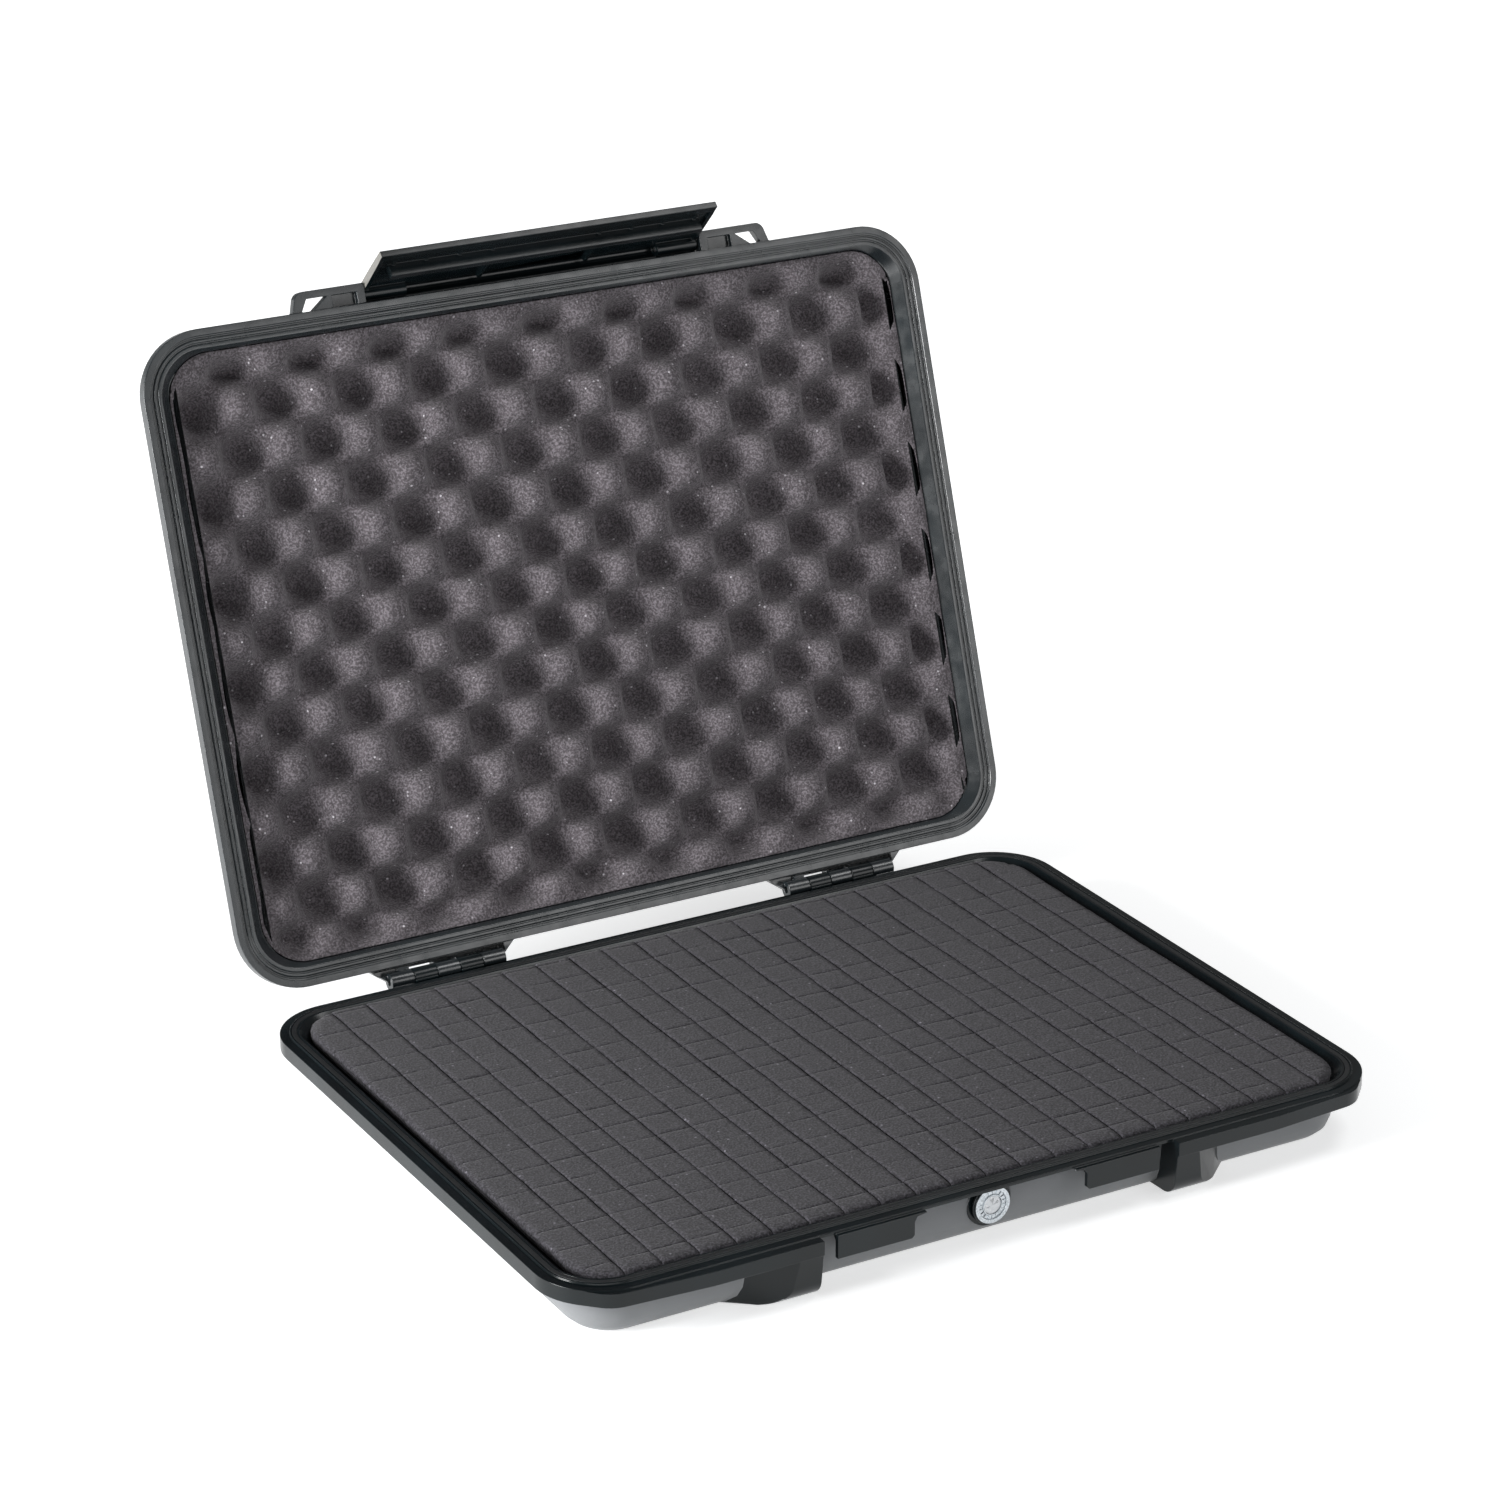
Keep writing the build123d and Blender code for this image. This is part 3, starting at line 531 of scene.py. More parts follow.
@dataclass(frozen=True)
class SoftRubber:
    """Extruded EPDM rubber: black, dull, with a faint skin that shines on its crest."""

    name: str = "epdm_rubber"
    colour: str = "#1b1d1e"

    def material(self) -> bpy.types.Material:
        """Build the rubber: an uneven dull skin."""
        graph = Graph(self.name)
        graph.surface(
            Base_Color=graph.blend(graph.noise(6 * MM, 3.0), self.colour, "#242628"),
            Roughness=graph.ramp(graph.noise(2.2 * MM, 3.0), 0.3, 0.7, 0.38, 0.55),
            IOR=1.52,
        )
        graph.bumps([(graph.noise(0.8 * MM, 2.0), 0.25, 0.05 * MM)])
        return graph.material


@dataclass(frozen=True)
class Metal:
    """A bare or plated metal. A drawn or turned surface is streaked along the tool's way."""

    name: str
    colour: str
    dull: str
    roughness: tuple[float, float]
    stretch: Vec3

    def material(self) -> bpy.types.Material:
        """Build the metal: streaked gloss and a faint tint."""
        graph = Graph(self.name)
        streaks = graph.noise(0.7 * MM, 3.0, 0.6, self.stretch)
        graph.surface(
            Base_Color=graph.blend(graph.ramp(streaks, 0.4, 0.7), self.colour, self.dull),
            Metallic=1.0,
            Roughness=graph.ramp(streaks, 0.3, 0.7, *self.roughness),
        )
        graph.bumps([(streaks, 0.2, 0.03 * MM)])
        return graph.material


@dataclass(frozen=True)
class VentFelt:
    """Expanded PTFE membrane: white, matt, faintly fibrous."""

    name: str = "ptfe_membrane"
    colour: str = "#f1f3f5"

    def material(self) -> bpy.types.Material:
        """Build the membrane: a white fibrous skin."""
        graph = Graph(self.name)
        fibres = graph.noise(0.5 * MM, 4.0, 0.6)
        graph.surface(
            Base_Color=graph.blend(graph.ramp(fibres, 0.3, 0.7), "#d9dde2", self.colour),
            Roughness=0.6,
            IOR=1.38,
        )
        graph.bumps([(fibres, 0.4, 0.08 * MM)])
        return graph.material


POLISHED = MouldedPlastic(
    "abs_polished", "#0b1113", "#11191c", (0.18, 0.27), 0.9 * MM, 0.004 * MM, mirror=0.3
)
# The lid's polished plastic is drawn lighter than the base's, though both are the same plastic:
# painted light on the lid.
LID_POLISHED = MouldedPlastic(
    "abs_polished_lid", "#181d20", "#22282b", (0.18, 0.30), 0.9 * MM, 0.004 * MM, mirror=0.7
)
GRAINED = MouldedPlastic("abs_grained", "#3a3d40", "#414447", (0.42, 0.55), 0.55 * MM, 0.03 * MM)
# Grained plastic of the base walls: a paler grey than the lid's grained walls of the same plastic, and
# paler still towards the table, both painted floor light.
GRAINED_PAINTED_FLOOR_LIGHT = MouldedPlastic(
    "abs_grained_painted_floor_light", "#54575a", "#5e6063", (0.42, 0.55), 0.55 * MM, 0.03 * MM, painted_floor_light="#87898b"
)
# Pale grey for the flap's outer end faces: painted light standing in for the key lamp shining on them.
FLAP_END_PAINTED_LIGHT = MouldedPlastic(
    "abs_flap_end_painted_light", "#6f6d69", "#7a7874", (0.40, 0.52), 0.55 * MM, 0.03 * MM
)
LID_FOAM = OpenCellFoam(
    "foam_convoluted", "#595357", "#3a3639", "#8c868c", "#c9c5cb", 1.6 * MM, 0.93, 0.7 * MM
)
BASE_FOAM = OpenCellFoam(
    "foam_scored", "#2e2c31", "#151418", "#58565d", "#7d7b84", 2.2 * MM, 0.94, 0.8 * MM
)
PIN_STEEL = Metal("drawn_steel", "#8f9194", "#77797c", (0.28, 0.45), (0.05, 1.0, 1.0))
CHROME = Metal("satin_chrome", "#c3c8cc", "#9ea4a9", (0.16, 0.32), (1.0, 1.0, 1.0))
NUT_PLASTIC = MouldedPlastic("nylon_nut", "#2a2c2e", "#323436", (0.45, 0.6), 0.7 * MM, 0.02 * MM)


# ---------------------------------------------------------------------------------------
# Mouldings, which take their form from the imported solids
# ---------------------------------------------------------------------------------------
@dataclass
class Moulding:
    """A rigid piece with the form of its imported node, rounded edges and a finish."""

    node: str
    body: Body
    slot: Slot
    finish: MouldedPlastic | SoftRubber | Metal | VentFelt
    edge: float
    steps: int = 2
    label: str = ""

    def form(self) -> bpy.types.Object:
        """Copy the node and round its edges."""
        piece = copy_of(self.node, self.label or self.node + "_finished")
        Bench.round_edges(piece, self.edge, self.steps)
        return piece

    def dress(self, piece: bpy.types.Object) -> None:
        """Give the whole piece its one finish."""
        piece.data.materials.append(material_of(self.finish))

    def make(self) -> bpy.types.Object:
        """Form and dress the piece, and put it in the place of its node."""
        piece = self.form()
        self.dress(piece)
        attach(piece, self.body.value)
        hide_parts(self.node)
        log.info("%s: %d faces", piece.name, len(piece.data.polygons))
        return piece


MATERIALS: dict[str, bpy.types.Material] = {}


def material_of(finish) -> bpy.types.Material:
    """The material of a finish, built once."""
    if finish.name not in MATERIALS:
        MATERIALS[finish.name] = finish.material()
    return MATERIALS[finish.name]


@dataclass(frozen=True)
class TubWall:
    """The drafted side walls of a half of the case, where the tool is grained."""

    half_x: float = 194.5 * MM
    half_y: float = 144.5 * MM
    inset_x: float = 10.2 * MM
    inset_y: float = 7.3 * MM
    corner: float = 23.0 * MM
    lean: float = radians(6.0)
    reach: float = 0.35 * MM
    floor_zone: float = 3.8 * MM

    def outside(self, x: float, y: float, drop: float) -> float:
        """How far a point lies outside the wall, drop metres away from the rim plane."""
        lean = drop * sin(self.lean) / cos(self.lean)
        half_x, half_y = self.half_x - self.inset_x - lean, self.half_y - self.inset_y - lean
        corner = self.corner - lean
        qx, qy = abs(x) - half_x + corner, abs(y) - half_y + corner
        outer = (max(qx, 0.0) ** 2 + max(qy, 0.0) ** 2) ** 0.5
        return outer + min(max(qx, qy), 0.0) - corner

    def grained(self, point: Vector, drop: float, depth: float) -> bool:
        """Whether a face's middle lies on the outer wall or on the round edge under it."""
        if drop > depth - self.floor_zone:
            return True
        return -1.2 * MM < self.outside(point.x, point.y, drop) < self.reach or (
            drop > depth - 9.5 * MM and -9 * MM < self.outside(point.x, point.y, drop) < self.reach
        )


@dataclass
class CaseHalf(Moulding):
    """Base or lid shell: polished rims and fittings, and grained walls outside."""

    rim: float = 28.0 * MM
    depth: float = 28.0 * MM
    side: int = -1          # the way from the rim plane to the outside: down or up
    flange: float = 7.7 * MM
    on_lid: bool = False
    # the default outer finish is the paler grained plastic with painted floor light
    outer_finish: MouldedPlastic = GRAINED_PAINTED_FLOOR_LIGHT
    wall: TubWall = field(default_factory=TubWall)

    def dress(self, piece: bpy.types.Object) -> None:
        """Lay the polished finish everywhere and the grained one on the outer walls."""
        piece.data.materials.append(material_of(self.finish))
        piece.data.materials.append(material_of(self.outer_finish))
        hinge = Hinge.of_lid()
        back = Matrix.Identity(4)
        if self.on_lid:
            centre = Vector(hinge.centre)
            turn = Matrix.Rotation(hinge.open_angle, 4, "X")
            back = Matrix.Translation(centre) @ turn @ Matrix.Translation(-centre)
        for face in piece.data.polygons:
            point = back @ face.center
            drop = (point.z - self.rim) * self.side
            outward = (back.to_3x3() @ face.normal)
            inward = Vector((point.x, point.y, 0)).dot(outward) < 0 and abs(outward.z) < 0.9
            if drop > self.flange - 0.1 * MM and not inward:
                if self.wall.grained(point, drop, self.depth):
                    inside_floor = outward.z * self.side < -0.5
                    face.material_index = 0 if inside_floor else 1


@dataclass
class LatchFlap(Moulding):
    """Latch flap, whose outer end faces are painted a pale grey that stands in for the key light on
    them.
    """

    end_depth: float = 0.6 * MM
    end_facing: float = 0.5

    def dress(self, piece: bpy.types.Object) -> None:
        """Lay the polished finish, and the pale painted light on the two outer ends.

        Args:
            piece: the finished flap.
        """
        super().dress(piece)
        piece.data.materials.append(material_of(FLAP_END_PAINTED_LIGHT))
        reach = max(abs(vertex.co.x) for vertex in piece.data.vertices)
        for face in piece.data.polygons:
            sideways = abs(face.normal.x) > self.end_facing
            if sideways and abs(face.center.x) > reach - self.end_depth:
                # painted light on the outer end faces
                face.material_index = 1


@dataclass
class ValveRing(Moulding):
    """Chrome ring round the vent: a raised land, a groove with small ribs, a lip."""

    land: float = 1.7 * MM
    groove: float = 1.5 * MM
    groove_depth: float = 0.55 * MM
    step_wall: float = 0.15 * MM
    vent_gap: float = 0.1 * MM
    sides: int = 72
    ribs: int = 18
    rib_size: Vec3 = (0.35 * MM, 0.5 * MM, 1.3 * MM)
    rib_sink: float = 0.75

    def form(self) -> bpy.types.Object:
        """Inset a disc into its land, groove and lip, open its middle and close its back.

        Returns:
            The finished ring, with its ribs.
        """
        low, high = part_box(self.node)
        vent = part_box("valve_membrane")
        radius = (high[0] - low[0]) / 2
        hole = (vent[1][0] - vent[0][0]) / 2 + self.vent_gap
        middle = ((low[0] + high[0]) / 2, low[1], (low[2] + high[2]) / 2)
        bpy.ops.object.select_all(action="DESELECT")
        bpy.ops.mesh.primitive_circle_add(
            vertices=self.sides, radius=radius, fill_type="NGON", location=middle,
            rotation=(pi / 2, 0, 0),
        )
        ring = bpy.context.active_object
        ring.name = ring.data.name = self.node + "_finished"
        bpy.ops.object.transform_apply(location=True, rotation=True, scale=True)
        bpy.ops.object.mode_set(mode="EDIT")
        bpy.ops.mesh.select_mode(type="FACE")
        bpy.ops.mesh.select_all(action="SELECT")
        wall = self.step_wall
        steps = (
            (self.land, 0.0),
            (wall, self.groove_depth),
            (self.groove, 0.0),
            (wall, -self.groove_depth),
            (radius - hole - self.land - self.groove - 2 * wall, 0.0),
        )
        for width, sink in steps:
            bpy.ops.mesh.inset(thickness=width, depth=0)
            bpy.ops.transform.translate(value=(0, sink, 0))
        bpy.ops.mesh.delete(type="FACE")
        bpy.ops.mesh.select_mode(type="EDGE")
        bpy.ops.mesh.select_all(action="DESELECT")
        bpy.ops.mesh.select_non_manifold()
        bpy.ops.mesh.extrude_region_move()
        bpy.ops.transform.resize(value=(1, 0, 1), center_override=(0, high[1], 0))
        bpy.ops.mesh.bridge_edge_loops()
        bpy.ops.mesh.select_all(action="SELECT")
        bpy.ops.mesh.normals_make_consistent(inside=False)
        Bench.done()
        self.add_ribs(ring, middle, radius - self.land - wall - self.groove / 2)
        Bench.round_edges(ring, self.edge, self.steps)
        return ring

    def add_ribs(self, ring: bpy.types.Object, middle: Vec3, reach: float) -> None:
        """Stand small ribs across the groove and join them to the ring.

        Args:
            ring: the ring, out of edit mode.
            middle: middle of its front face.
            reach: radius at which the ribs stand.
        """
        top = (middle[0], middle[1] + self.groove_depth * self.rib_sink, middle[2] + reach)
        for number in range(self.ribs):
            bpy.ops.object.select_all(action="DESELECT")
            bpy.ops.mesh.primitive_cube_add(size=1, location=top, scale=self.rib_size)
            rib = bpy.context.active_object
            bpy.ops.object.transform_apply(location=True, rotation=True, scale=True)
            Bench.turn_mesh(rib, 2 * pi * number / self.ribs, "Y", middle)
            bpy.ops.object.select_all(action="DESELECT")
            rib.select_set(True)
            ring.select_set(True)
            bpy.context.view_layer.objects.active = ring
            bpy.ops.object.join()


@dataclass
class VentDome(Moulding):
    """White vent membrane raised into a low dome."""

    rings: int = 5
    rise_share: float = 0.45
    ring_margin: float = 0.5
    front_margin: float = 0.01 * MM
    smooth_angle: float = 60.0

    def fall(self, share: float) -> float:
        """Part of the rise still missing at a share of the way in, along a quarter circle."""
        return 1 - (1 - (1 - share) ** 2) ** 0.5

    def form(self) -> bpy.types.Object:
        """Inset the front face again and again, and raise each ring towards the middle.

        Returns:
            The finished dome.
        """
        dome = copy_of(self.node, self.node + "_finished")
        low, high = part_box(self.node)
        radius = (high[0] - low[0]) / 2
        rise = (high[1] - low[1]) * self.rise_share
        Bench.edit(dome)
        front = low[1]
        Bench.choose(dome, lambda point: point.y < front + self.front_margin, "FACE")
        bpy.ops.transform.translate(value=(0, rise, 0))
        for number in range(self.rings):
            bpy.ops.mesh.inset(thickness=radius / (self.rings + self.ring_margin), depth=0)
            sink = rise * self.fall((number + 1) / self.rings)
            before = rise * self.fall(number / self.rings)
            bpy.ops.transform.translate(value=(0, sink - before, 0))
        Bench.done()
        Bench.smooth(dome, self.smooth_angle)
        return dome


@dataclass
class LidShell(CaseHalf):
    """Lid shell, whose flat rim has fine sealing lines cut in it."""

    outline: RoundedOutline = RoundedOutline(194.5 * MM, 144.5 * MM, 29.0 * MM)
    line_insets: tuple[float, ...] = (3.9 * MM, 6.0 * MM)
    line_width: float = 0.9 * MM
    line_depth: float = 0.7 * MM

    def form(self) -> bpy.types.Object:
        """Copy the node, cut the lines with the lid shut, and round the edges."""
        piece = copy_of(self.node, self.node + "_finished")
        hinge = Hinge.of_lid()
        hinge.shut(piece)
        for number, inset in enumerate(self.line_insets):
            tool = self.outline.ring(
                f"line_{number}", inset, self.line_width,
                self.rim - self.line_depth, self.rim + self.line_depth,
            )
            Bench.combine(piece, tool, "DIFFERENCE")
        hinge.opened(piece)
        Bench.round_edges(piece, self.edge, self.steps)
        return piece


# ---------------------------------------------------------------------------------------
# Foams
# ---------------------------------------------------------------------------------------
@dataclass
class FoamBlock:
    """A foam part whose face is a height field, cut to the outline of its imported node.

    The face is drawn with the case shut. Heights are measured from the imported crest
    towards the body of the foam.
    """

    node: str
    body: Body
    slot: Slot
    finish: OpenCellFoam
    half_x: float
    half_y: float
    corner: float
    face_z: float
    back_z: float
    fill: float
    on_lid: bool = False
    edge_round: float = 3.0 * MM

    def stations(self) -> tuple[list[float], list[float]]:
        """Places of the grid lines of the face, across and along."""
        raise NotImplementedError

    def relief(self, x: float, y: float) -> float:
        """Depth of the face below its crest plane."""
        raise NotImplementedError

    def shift(self, x: float, y: float) -> tuple[float, float]:
        """Sideways waver of the face at a point."""
        return (0.0, 0.0)

    def edge_depth(self, x: float, y: float) -> float:
        """Depth added near the outline, where the cut edge rolls over."""
        inset = self.inside(x, y)
        if inset >= self.edge_round:
            return 0.0
        run = 1 - max(inset, 0.0) / self.edge_round
        return self.edge_round * 0.6 * (1 - (1 - run * run) ** 0.5)

    def outline(self) -> bpy.types.Object:
        """The room that the foam fills, as a closed block."""
        return copy_of(self.node, self.node + "_outline")

    def inside(self, x: float, y: float) -> float:
        """Distance from a point in to the outline."""
        qx = abs(x) - self.half_x + self.corner
        qy = abs(y) - self.half_y + self.corner
        return self.corner - (max(qx, 0.0) ** 2 + max(qy, 0.0) ** 2) ** 0.5 - min(max(qx, qy), 0.0)

    def sheet(self) -> bpy.types.Object:
        """Lay a grid, set its lines out, and pull every point to its depth."""
        across, along = self.stations()
        bpy.ops.object.select_all(action="DESELECT")
        bpy.ops.mesh.primitive_grid_add(
            x_subdivisions=len(across) - 1, y_subdivisions=len(along) - 1, size=2
        )
        face = bpy.context.active_object
        inward = 1 if self.on_lid else -1
        for vertex in face.data.vertices:
            column = round((vertex.co.x + 1) / 2 * (len(across) - 1))
            row = round((vertex.co.y + 1) / 2 * (len(along) - 1))
            x, y = across[column], along[row]
            depth = self.relief(x, y) + self.edge_depth(x, y)
            move_x, move_y = self.shift(x, y)
            vertex.co = (x + move_x, y + move_y, self.face_z + inward * depth)
        return face

    def form(self) -> bpy.types.Object:
        """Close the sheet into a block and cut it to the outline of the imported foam."""
        block = self.sheet()
        block.name = block.data.name = self.node + "_cut"
        Bench.edit(block, "EDGE")
        bpy.ops.mesh.select_non_manifold()
        bpy.ops.mesh.extrude_region_move()
        rim = self.back_z
        bpy.ops.transform.resize(value=(1, 1, 0), orient_type="GLOBAL", center_override=(0, 0, rim))
        bpy.ops.mesh.edge_face_add()
        bpy.ops.mesh.select_all(action="SELECT")
        bpy.ops.mesh.normals_make_consistent(inside=False)
        Bench.done()
        Bench.combine(block, self.outline(), "INTERSECT")
        if self.on_lid:
            Hinge.of_lid().opened(block)
        Bench.pick(block)
        bpy.ops.object.shade_smooth_by_angle(angle=radians(50))
        return block

    def make(self) -> bpy.types.Object:
        """Form and dress the foam, and put it in the place of its node."""
        block = self.form()
        block.data.materials.clear()
        block.data.materials.append(material_of(self.finish))
        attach(block, self.body.value)
        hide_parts(self.node)
        log.info("%s: %d faces", block.name, len(block.data.polygons))
        return block


@dataclass
class ConvolutedFoam(FoamBlock):
    """Egg-crate foam: rows of round mounds with somewhat narrower pits between them."""

    pitch_x: float = 38.6 * MM
    pitch_y: float = 39.84 * MM
    phase_x: float = 22.8 * MM
    phase_y: float = -128.5 * MM
    rim: float = 28.3 * MM
    roof: float = 57.0 * MM
    lean: float = 3.0 * MM
    roof_bevel: float = 5.0 * MM
    depth: float = 21.0 * MM
    sharpness: float = 1.2
    border: float = 13.0 * MM
    border_depth: float = 0.8 * MM
    step: float = 1.7 * MM
    bend_x: float = 3.2 * MM
    bend_y: float = 2.6 * MM
    bend_rate: float = 16
    swell: float = 0.12
    swell_rate: float = 34
    squareness: float = 0.6
    ripple: float = 0.5 * MM
    ripple_rate: float = 60
    skin: float = 0.05 * MM

    def stations(self) -> tuple[list[float], list[float]]:
        """Even lines, fine enough for the round peaks."""
        return tuple(
            [-half + 2 * half * i / count for i in range(count + 1)]
            for half, count in (
                (self.half_x + MM, round(2 * self.half_x / self.step)),
                (self.half_y + MM, round(2 * self.half_y / self.step)),
            )
        )

    def relief(self, x: float, y: float) -> float:
        """Two sets of crossing waves, bent a little where the foam was not quite even.

        Args:
            x: place across the foam.
            y: place along the foam.

        Returns:
            Depth below the top of the foam.
        """
        place = Vector((x, y, 0.0))
        bent_x = x + self.bend_x * noise.noise(place * self.bend_rate)
        bent_y = y + self.bend_y * noise.noise(place * self.bend_rate + Vector((7.0, 3.0, 1.0)))
        wave = cos(2 * pi * (bent_x - self.phase_x) / self.pitch_x)
        wave *= cos(2 * pi * (bent_y - self.phase_y) / self.pitch_y)
        swell = 1.0 + self.swell * noise.noise(place * self.swell_rate + Vector((0.0, 0.0, 5.0)))
        low = ((1 - wave) / 2) ** self.sharpness
        steep = (1 - self.squareness) * low + self.squareness * low * low * (3 - 2 * low)
        run = min(max(self.inside(x, y) / self.border, 0.0), 1.0)
        run *= run * (3 - 2 * run)
        hollow = self.border_depth * (1 - run) + steep * self.depth * swell * run
        return self.skin + hollow + self.ripple * (1 + noise.noise(place * self.ripple_rate)) / 2

    def outline(self) -> bpy.types.Object:
        """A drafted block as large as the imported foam, without its pits."""
        shape = RoundedOutline(self.half_x, self.half_y, self.corner)
        return shape.prism(
            self.node + "_outline", self.rim, self.roof, self.lean, self.roof_bevel
        )


@dataclass
class ScoredFoam(FoamBlock):
    """Pick-and-pluck foam: slit into square cells that hold together at the bottom."""

    column_start: float = -181.17 * MM
    column_pitch: float = 16.47 * MM
    row_start: float = -141.3 * MM
    row_pitch: float = 16.97 * MM
    slit_depth: float = 2.2 * MM
    offsets: tuple[float, ...] = (0.0, 0.16, 0.75, 2.6, 5.4)

    def lines(self, start: float, pitch: float, half: float) -> list[float]:
        """Grid lines that crowd at both sides of every slit."""
        places = set()
        for k in range(int(2 * half / pitch) + 3):
            slit = start + k * pitch
            for offset in self.offsets:
                for way in (-1, 1):
                    places.add(round(slit + way * offset * MM, 7))
            places.add(round(slit + pitch / 2, 7))
        inside = sorted(p for p in places if -half < p < half)
        return [-half - MM, *inside, half + MM]

    def stations(self) -> tuple[list[float], list[float]]:
        """Lines that follow the slits both ways."""
        return (
            self.lines(self.column_start, self.column_pitch, self.half_x),
            self.lines(self.row_start, self.row_pitch, self.half_y),
        )

    def slit(self, place: float, start: float, pitch: float) -> tuple[float, int]:
        """Distance to the nearest slit and its number."""
        number = round((place - start) / pitch)
        return abs(place - start - number * pitch), number

    def groove(self, away: float, depth: float) -> float:
        """Depth of a slit with soft shoulders, at a distance from its middle."""
        gape = 0.16 * MM
        shoulder = 0.75 * MM
        if away < gape:
            return depth * (1 - 0.7 * away / gape)
        return max(0.0, 0.3 * depth * (1 - (away - gape) / shoulder)) if away < shoulder else 0.0

    def relief(self, x: float, y: float) -> float:
        """Slits that open by different amounts, and cells that sit unevenly."""
        near_x, column = self.slit(x, self.column_start, self.column_pitch)
        near_y, row = self.slit(y, self.row_start, self.row_pitch)
        cell = Vector((
            (x - self.column_start) // self.column_pitch, (y - self.row_start) // self.row_pitch, 0.5
        ))
        open_x = 0.75 + 0.5 * noise.noise(Vector((column * 3.1, y * 55, 0.3)))
        open_y = 0.22 + 0.42 * noise.noise(Vector((x * 40, row * 2.7, 4.1)))
        depth = max(
            self.groove(near_x, self.slit_depth * max(open_x, 0.1)),
            self.groove(near_y, self.slit_depth * max(open_y, 0.04)),
        )
        across = (x - self.column_start) / self.column_pitch - cell.x
        sit = 0.16 * MM * (1 + noise.noise(cell * 1.7)) + 0.4 * MM * across
        ripple = 0.12 * MM * (1 + noise.noise(Vector((x, y, 0)) * 110))
        return 0.05 * MM + depth + sit + ripple

    def shift(self, x: float, y: float) -> tuple[float, float]:
        """The knife wandered a little."""
        return (
            0.32 * MM * noise.noise(Vector((x * 30, y * 70, 2.0))),
            0.32 * MM * noise.noise(Vector((x * 70, y * 30, 9.0))),
        )


@dataclass
class PlainFoam(FoamBlock):
    """A plain pad under the scored foam, with soft dents."""

    step: float = 5.0 * MM

    def stations(self) -> tuple[list[float], list[float]]:
        """Even lines."""
        return tuple(
            [-half + 2 * half * i / count for i in range(count + 1)]
            for half, count in (
                (self.half_x + MM, round(2 * self.half_x / self.step)),
                (self.half_y + MM, round(2 * self.half_y / self.step)),
            )
        )

    def relief(self, x: float, y: float) -> float:
        """A few tenths of a millimetre of waviness."""
        return 0.05 * MM + 0.25 * MM * (1 + noise.noise(Vector((x, y, 0)) * 25))


# ---------------------------------------------------------------------------------------
# Studio
# ---------------------------------------------------------------------------------------
@dataclass(frozen=True)
class Softbox:
    """A rectangular studio lamp that points at a place on the case."""

    name: str
    place: Vec3
    aim: Vec3
    size: tuple[float, float]
    power: float
    colour: Vec3 = (1.0, 1.0, 1.0)

    def make(self) -> None:
        """Hang the lamp."""
        lamp = bpy.data.lights.new(self.name, "AREA")
        lamp.shape = "RECTANGLE"
        lamp.size, lamp.size_y = self.size
        lamp.energy = self.power
        lamp.color = self.colour
        holder = bpy.data.objects.new(self.name, lamp)
        holder.location = self.place
        way = Vector(self.aim) - Vector(self.place)
        holder.rotation_euler = way.to_track_quat("-Z", "Y").to_euler()
        bpy.context.scene.collection.objects.link(holder)


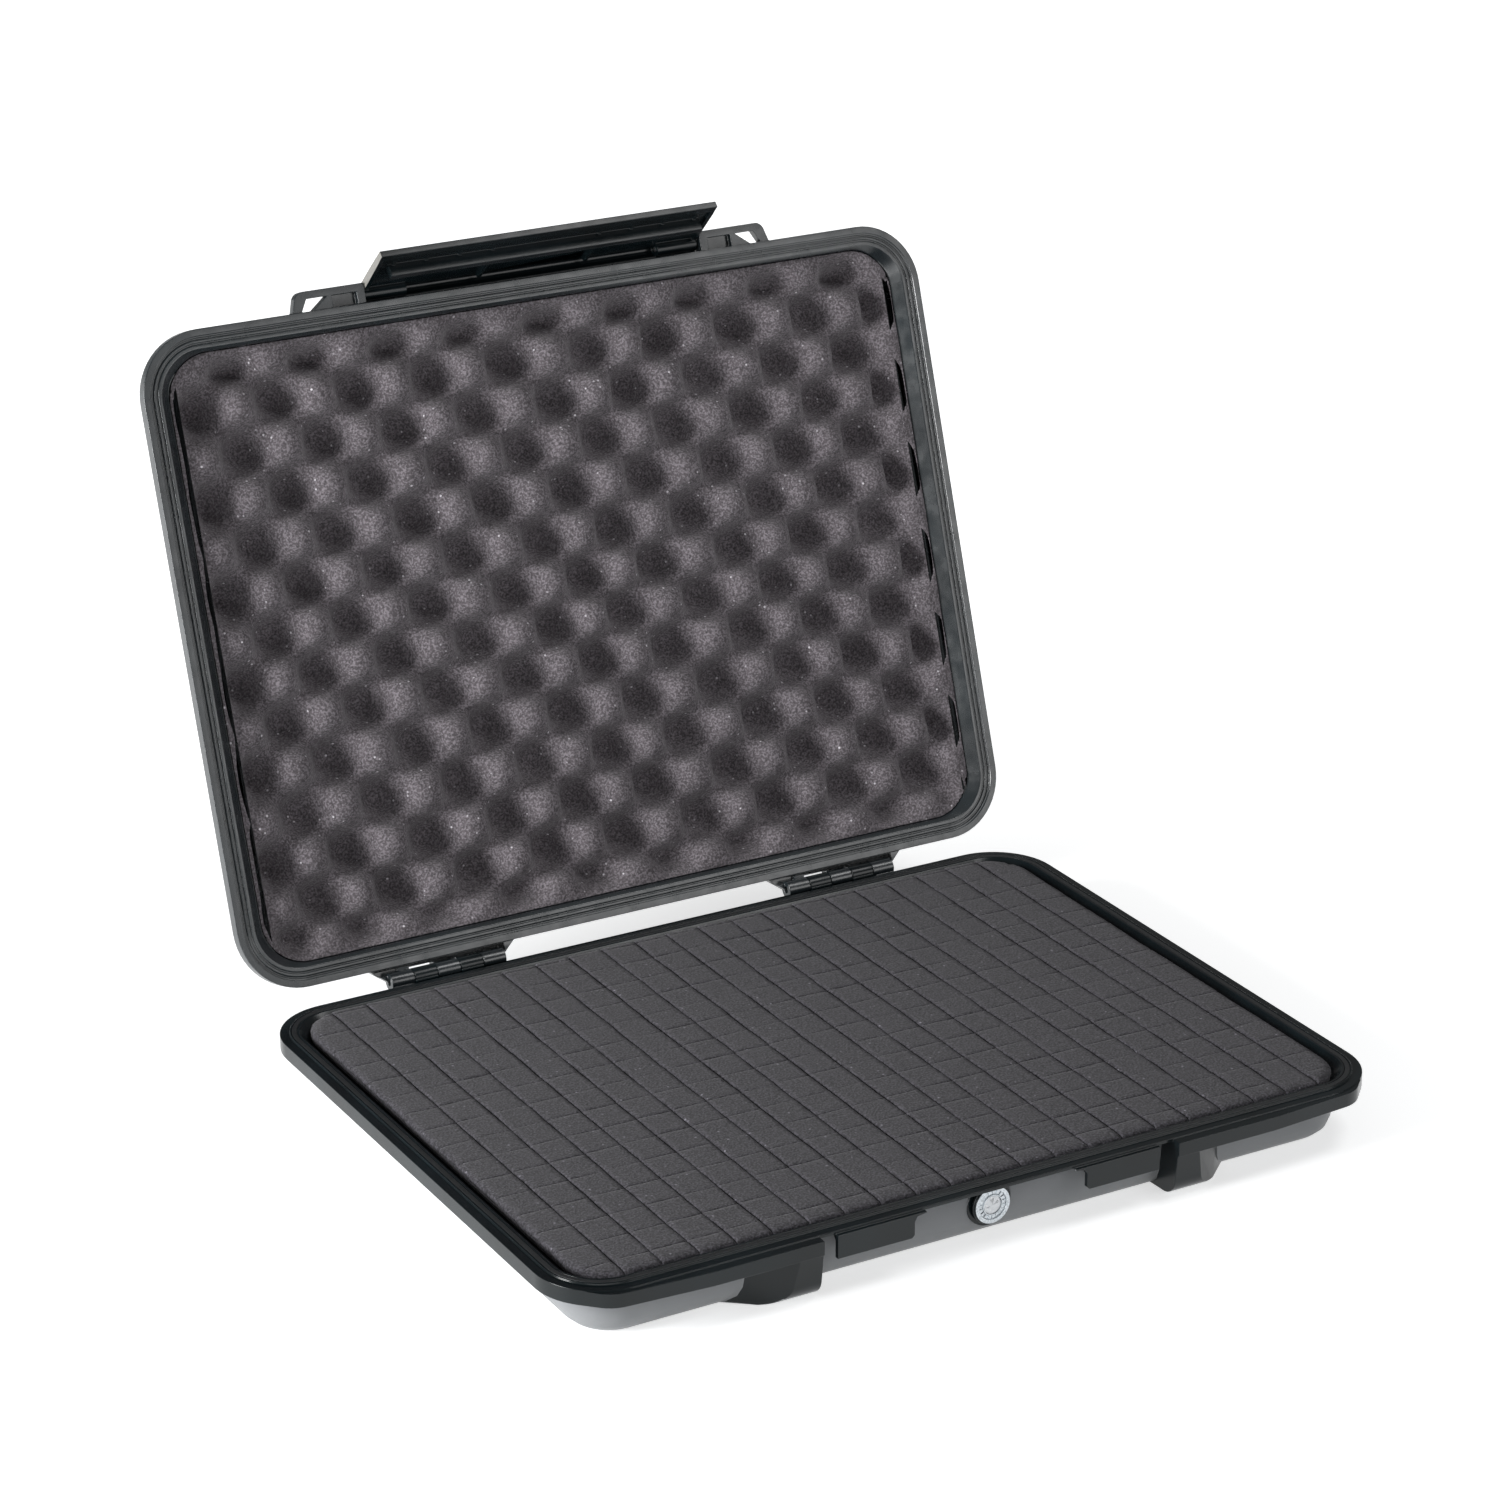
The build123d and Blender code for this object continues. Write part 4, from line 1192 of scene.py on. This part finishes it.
@dataclass
class Studio:
    """A white table and background, soft lamps and the camera."""

    floor_size: float = 14.0
    table_white: str = "#e9ebec"
    glow_reach: tuple[float, float] = (0.22, 0.75)
    table_glow: tuple[float, float] = (0.6, 1.0)
    world_fill: float = 0.18
    boxes: Iterable[Softbox] = (
        Softbox("key_left", (-1.7, 0.02, 0.52), (0.0, 0.2, 0.2), (0.6, 0.8), 50.0),
        Softbox("top_right", (0.7, -0.3, 1.4), (0.0, -0.05, 0.05), (0.55, 0.55), 5.0),
        Softbox("front_low", (-0.45, -0.9, 0.05), (0.0, -0.15, 0.012), (0.9, 0.1), 2.2),
        Softbox("right_panel", (0.83, -1.36, 0.55), (0.0, 0.2, 0.2), (0.8, 0.7), 4.6),
    )

    def table(self) -> None:
        """A table top that shows white and keeps the shadow of the case."""
        bpy.ops.mesh.primitive_plane_add(size=self.floor_size, location=(0, 0, 0))
        top = bpy.context.active_object
        top.name = "table_top"
        graph = Graph("white_table")
        graph.surface(Base_Color=self.table_white, Roughness=0.65, Emission_Color="#ffffff")
        away = graph.add("VectorMath", {"operation": "LENGTH"}, Vector=graph.place())
        glow = graph.ramp(away.outputs["Value"], *self.glow_reach, *self.table_glow)
        path = graph.add("LightPath")
        seen = graph.add(
            "Math", {"operation": "MAXIMUM"},
            i0=path.outputs["Is Camera Ray"], i1=path.outputs["Is Glossy Ray"],
        )
        strength = graph.add("Math", {"operation": "MULTIPLY"}, i0=seen.outputs[0], i1=glow)
        graph.surface(Emission_Strength=strength.outputs[0])
        top.data.materials.append(graph.material)

    def sky(self) -> None:
        """A white surround for what the camera and mirrors see, dimmer as a lamp."""
        world = bpy.data.worlds.new("surround")
        world.use_nodes = True
        tree = world.node_tree
        background = tree.nodes["Background"]
        background.inputs["Color"].default_value = (1, 1, 1, 1)
        path = tree.nodes.new("ShaderNodeLightPath")
        clear = tree.nodes.new("ShaderNodeMath")
        clear.operation = "MAXIMUM"
        tree.links.new(path.outputs["Is Camera Ray"], clear.inputs[0])
        tree.links.new(path.outputs["Is Transmission Ray"], clear.inputs[1])
        strength = tree.nodes.new("ShaderNodeMapRange")
        strength.inputs["To Min"].default_value = self.world_fill
        strength.inputs["To Max"].default_value = 1.0
        tree.links.new(clear.outputs[0], strength.inputs["Value"])
        tree.links.new(strength.outputs["Result"], background.inputs["Strength"])
        bpy.context.scene.world = world

    def camera(self) -> None:
        """The three-quarter view from the left, a little above the rims."""
        lens = bpy.data.cameras.new("view_camera")
        lens.sensor_fit = "HORIZONTAL"
        lens.sensor_width = 36.0
        lens.lens = 106.85
        lens.clip_start, lens.clip_end = 0.05, 40.0
        holder = bpy.data.objects.new("view_camera", lens)
        azimuth, elevation = radians(29.82), radians(22.05)
        forward = Vector((
            sin(azimuth) * cos(elevation), cos(azimuth) * cos(elevation), -sin(elevation)
        ))
        holder.location = (-0.8742, -1.4686, 0.8564)
        holder.rotation_euler = forward.to_track_quat("-Z", "Y").to_euler()
        bpy.context.scene.collection.objects.link(holder)
        bpy.context.scene.camera = holder

    def make(self) -> None:
        """Set up everything round the case."""
        bpy.context.scene.view_settings.view_transform = "Standard"
        self.sky()
        self.table()
        for box in self.boxes:
            box.make()
        self.camera()


# ---------------------------------------------------------------------------------------
# The case
# ---------------------------------------------------------------------------------------
def case_pieces() -> list[Moulding | FoamBlock]:
    """Every piece of the case, in the order they are made."""
    foam_x, foam_y, corner = 181.5 * MM, 134.4 * MM, 20.2 * MM
    pieces: list[Moulding | FoamBlock] = [
        # The base's outer walls take the paler grained plastic with painted floor light.
        CaseHalf("base_shell", Body.BASE, Slot.SHELL, POLISHED, 0.3 * MM),
        LidShell(
            "lid_shell", Body.LID, Slot.SHELL, LID_POLISHED, 0.3 * MM, rim=28.3 * MM,
            depth=32.0 * MM, side=1, flange=5.0 * MM, on_lid=True, outer_finish=GRAINED,
        ),
        LatchFlap("latch_flap", Body.LATCH, Slot.SHELL, POLISHED, 0.3 * MM),
        Moulding("rim_seal", Body.BASE, Slot.SEAL, SoftRubber(), 0.3 * MM),
        ScoredFoam(
            "base_foam_grid", Body.BASE, Slot.BASE_FOAM, BASE_FOAM, foam_x, foam_y, corner,
            29.0 * MM, 11.0 * MM, 0.9,
        ),
        PlainFoam(
            "base_foam_pad", Body.BASE, Slot.BASE_FOAM, BASE_FOAM, foam_x, foam_y, corner,
            11.3 * MM, 2.5 * MM, 0.9,
        ),
        ConvolutedFoam(
            "lid_foam", Body.LID, Slot.LID_FOAM, LID_FOAM, foam_x, foam_y, corner,
            30.8 * MM, 58.0 * MM, 0.8, on_lid=True, edge_round=2.0 * MM,
        ),
        Moulding("valve_gasket", Body.BASE, Slot.SEAL, SoftRubber(), 0.15 * MM),
        Moulding("valve_body", Body.BASE, Slot.SHELL, POLISHED, 0.3 * MM),
        ValveRing("valve_ring", Body.BASE, Slot.RING, CHROME, 0.08 * MM),
        VentDome("valve_membrane", Body.BASE, Slot.MEMBRANE, VentFelt(), 0.2 * MM),
        Moulding("valve_nut", Body.BASE, Slot.SHELL, NUT_PLASTIC, 0.3 * MM),
    ]
    for hand in ("left", "right"):
        pieces.append(Moulding(f"hinge_pin_{hand}", Body.LID, Slot.PIN, PIN_STEEL, 0.3 * MM))
        pieces.append(Moulding(f"latch_pin_{hand}", Body.LID, Slot.PIN, PIN_STEEL, 0.25 * MM))
    return pieces


def main() -> None:
    """Make the case piece by piece, then the studio round it."""
    for piece in case_pieces():
        piece.make()
    Studio().make()


if __name__ == "__main__":
    main()
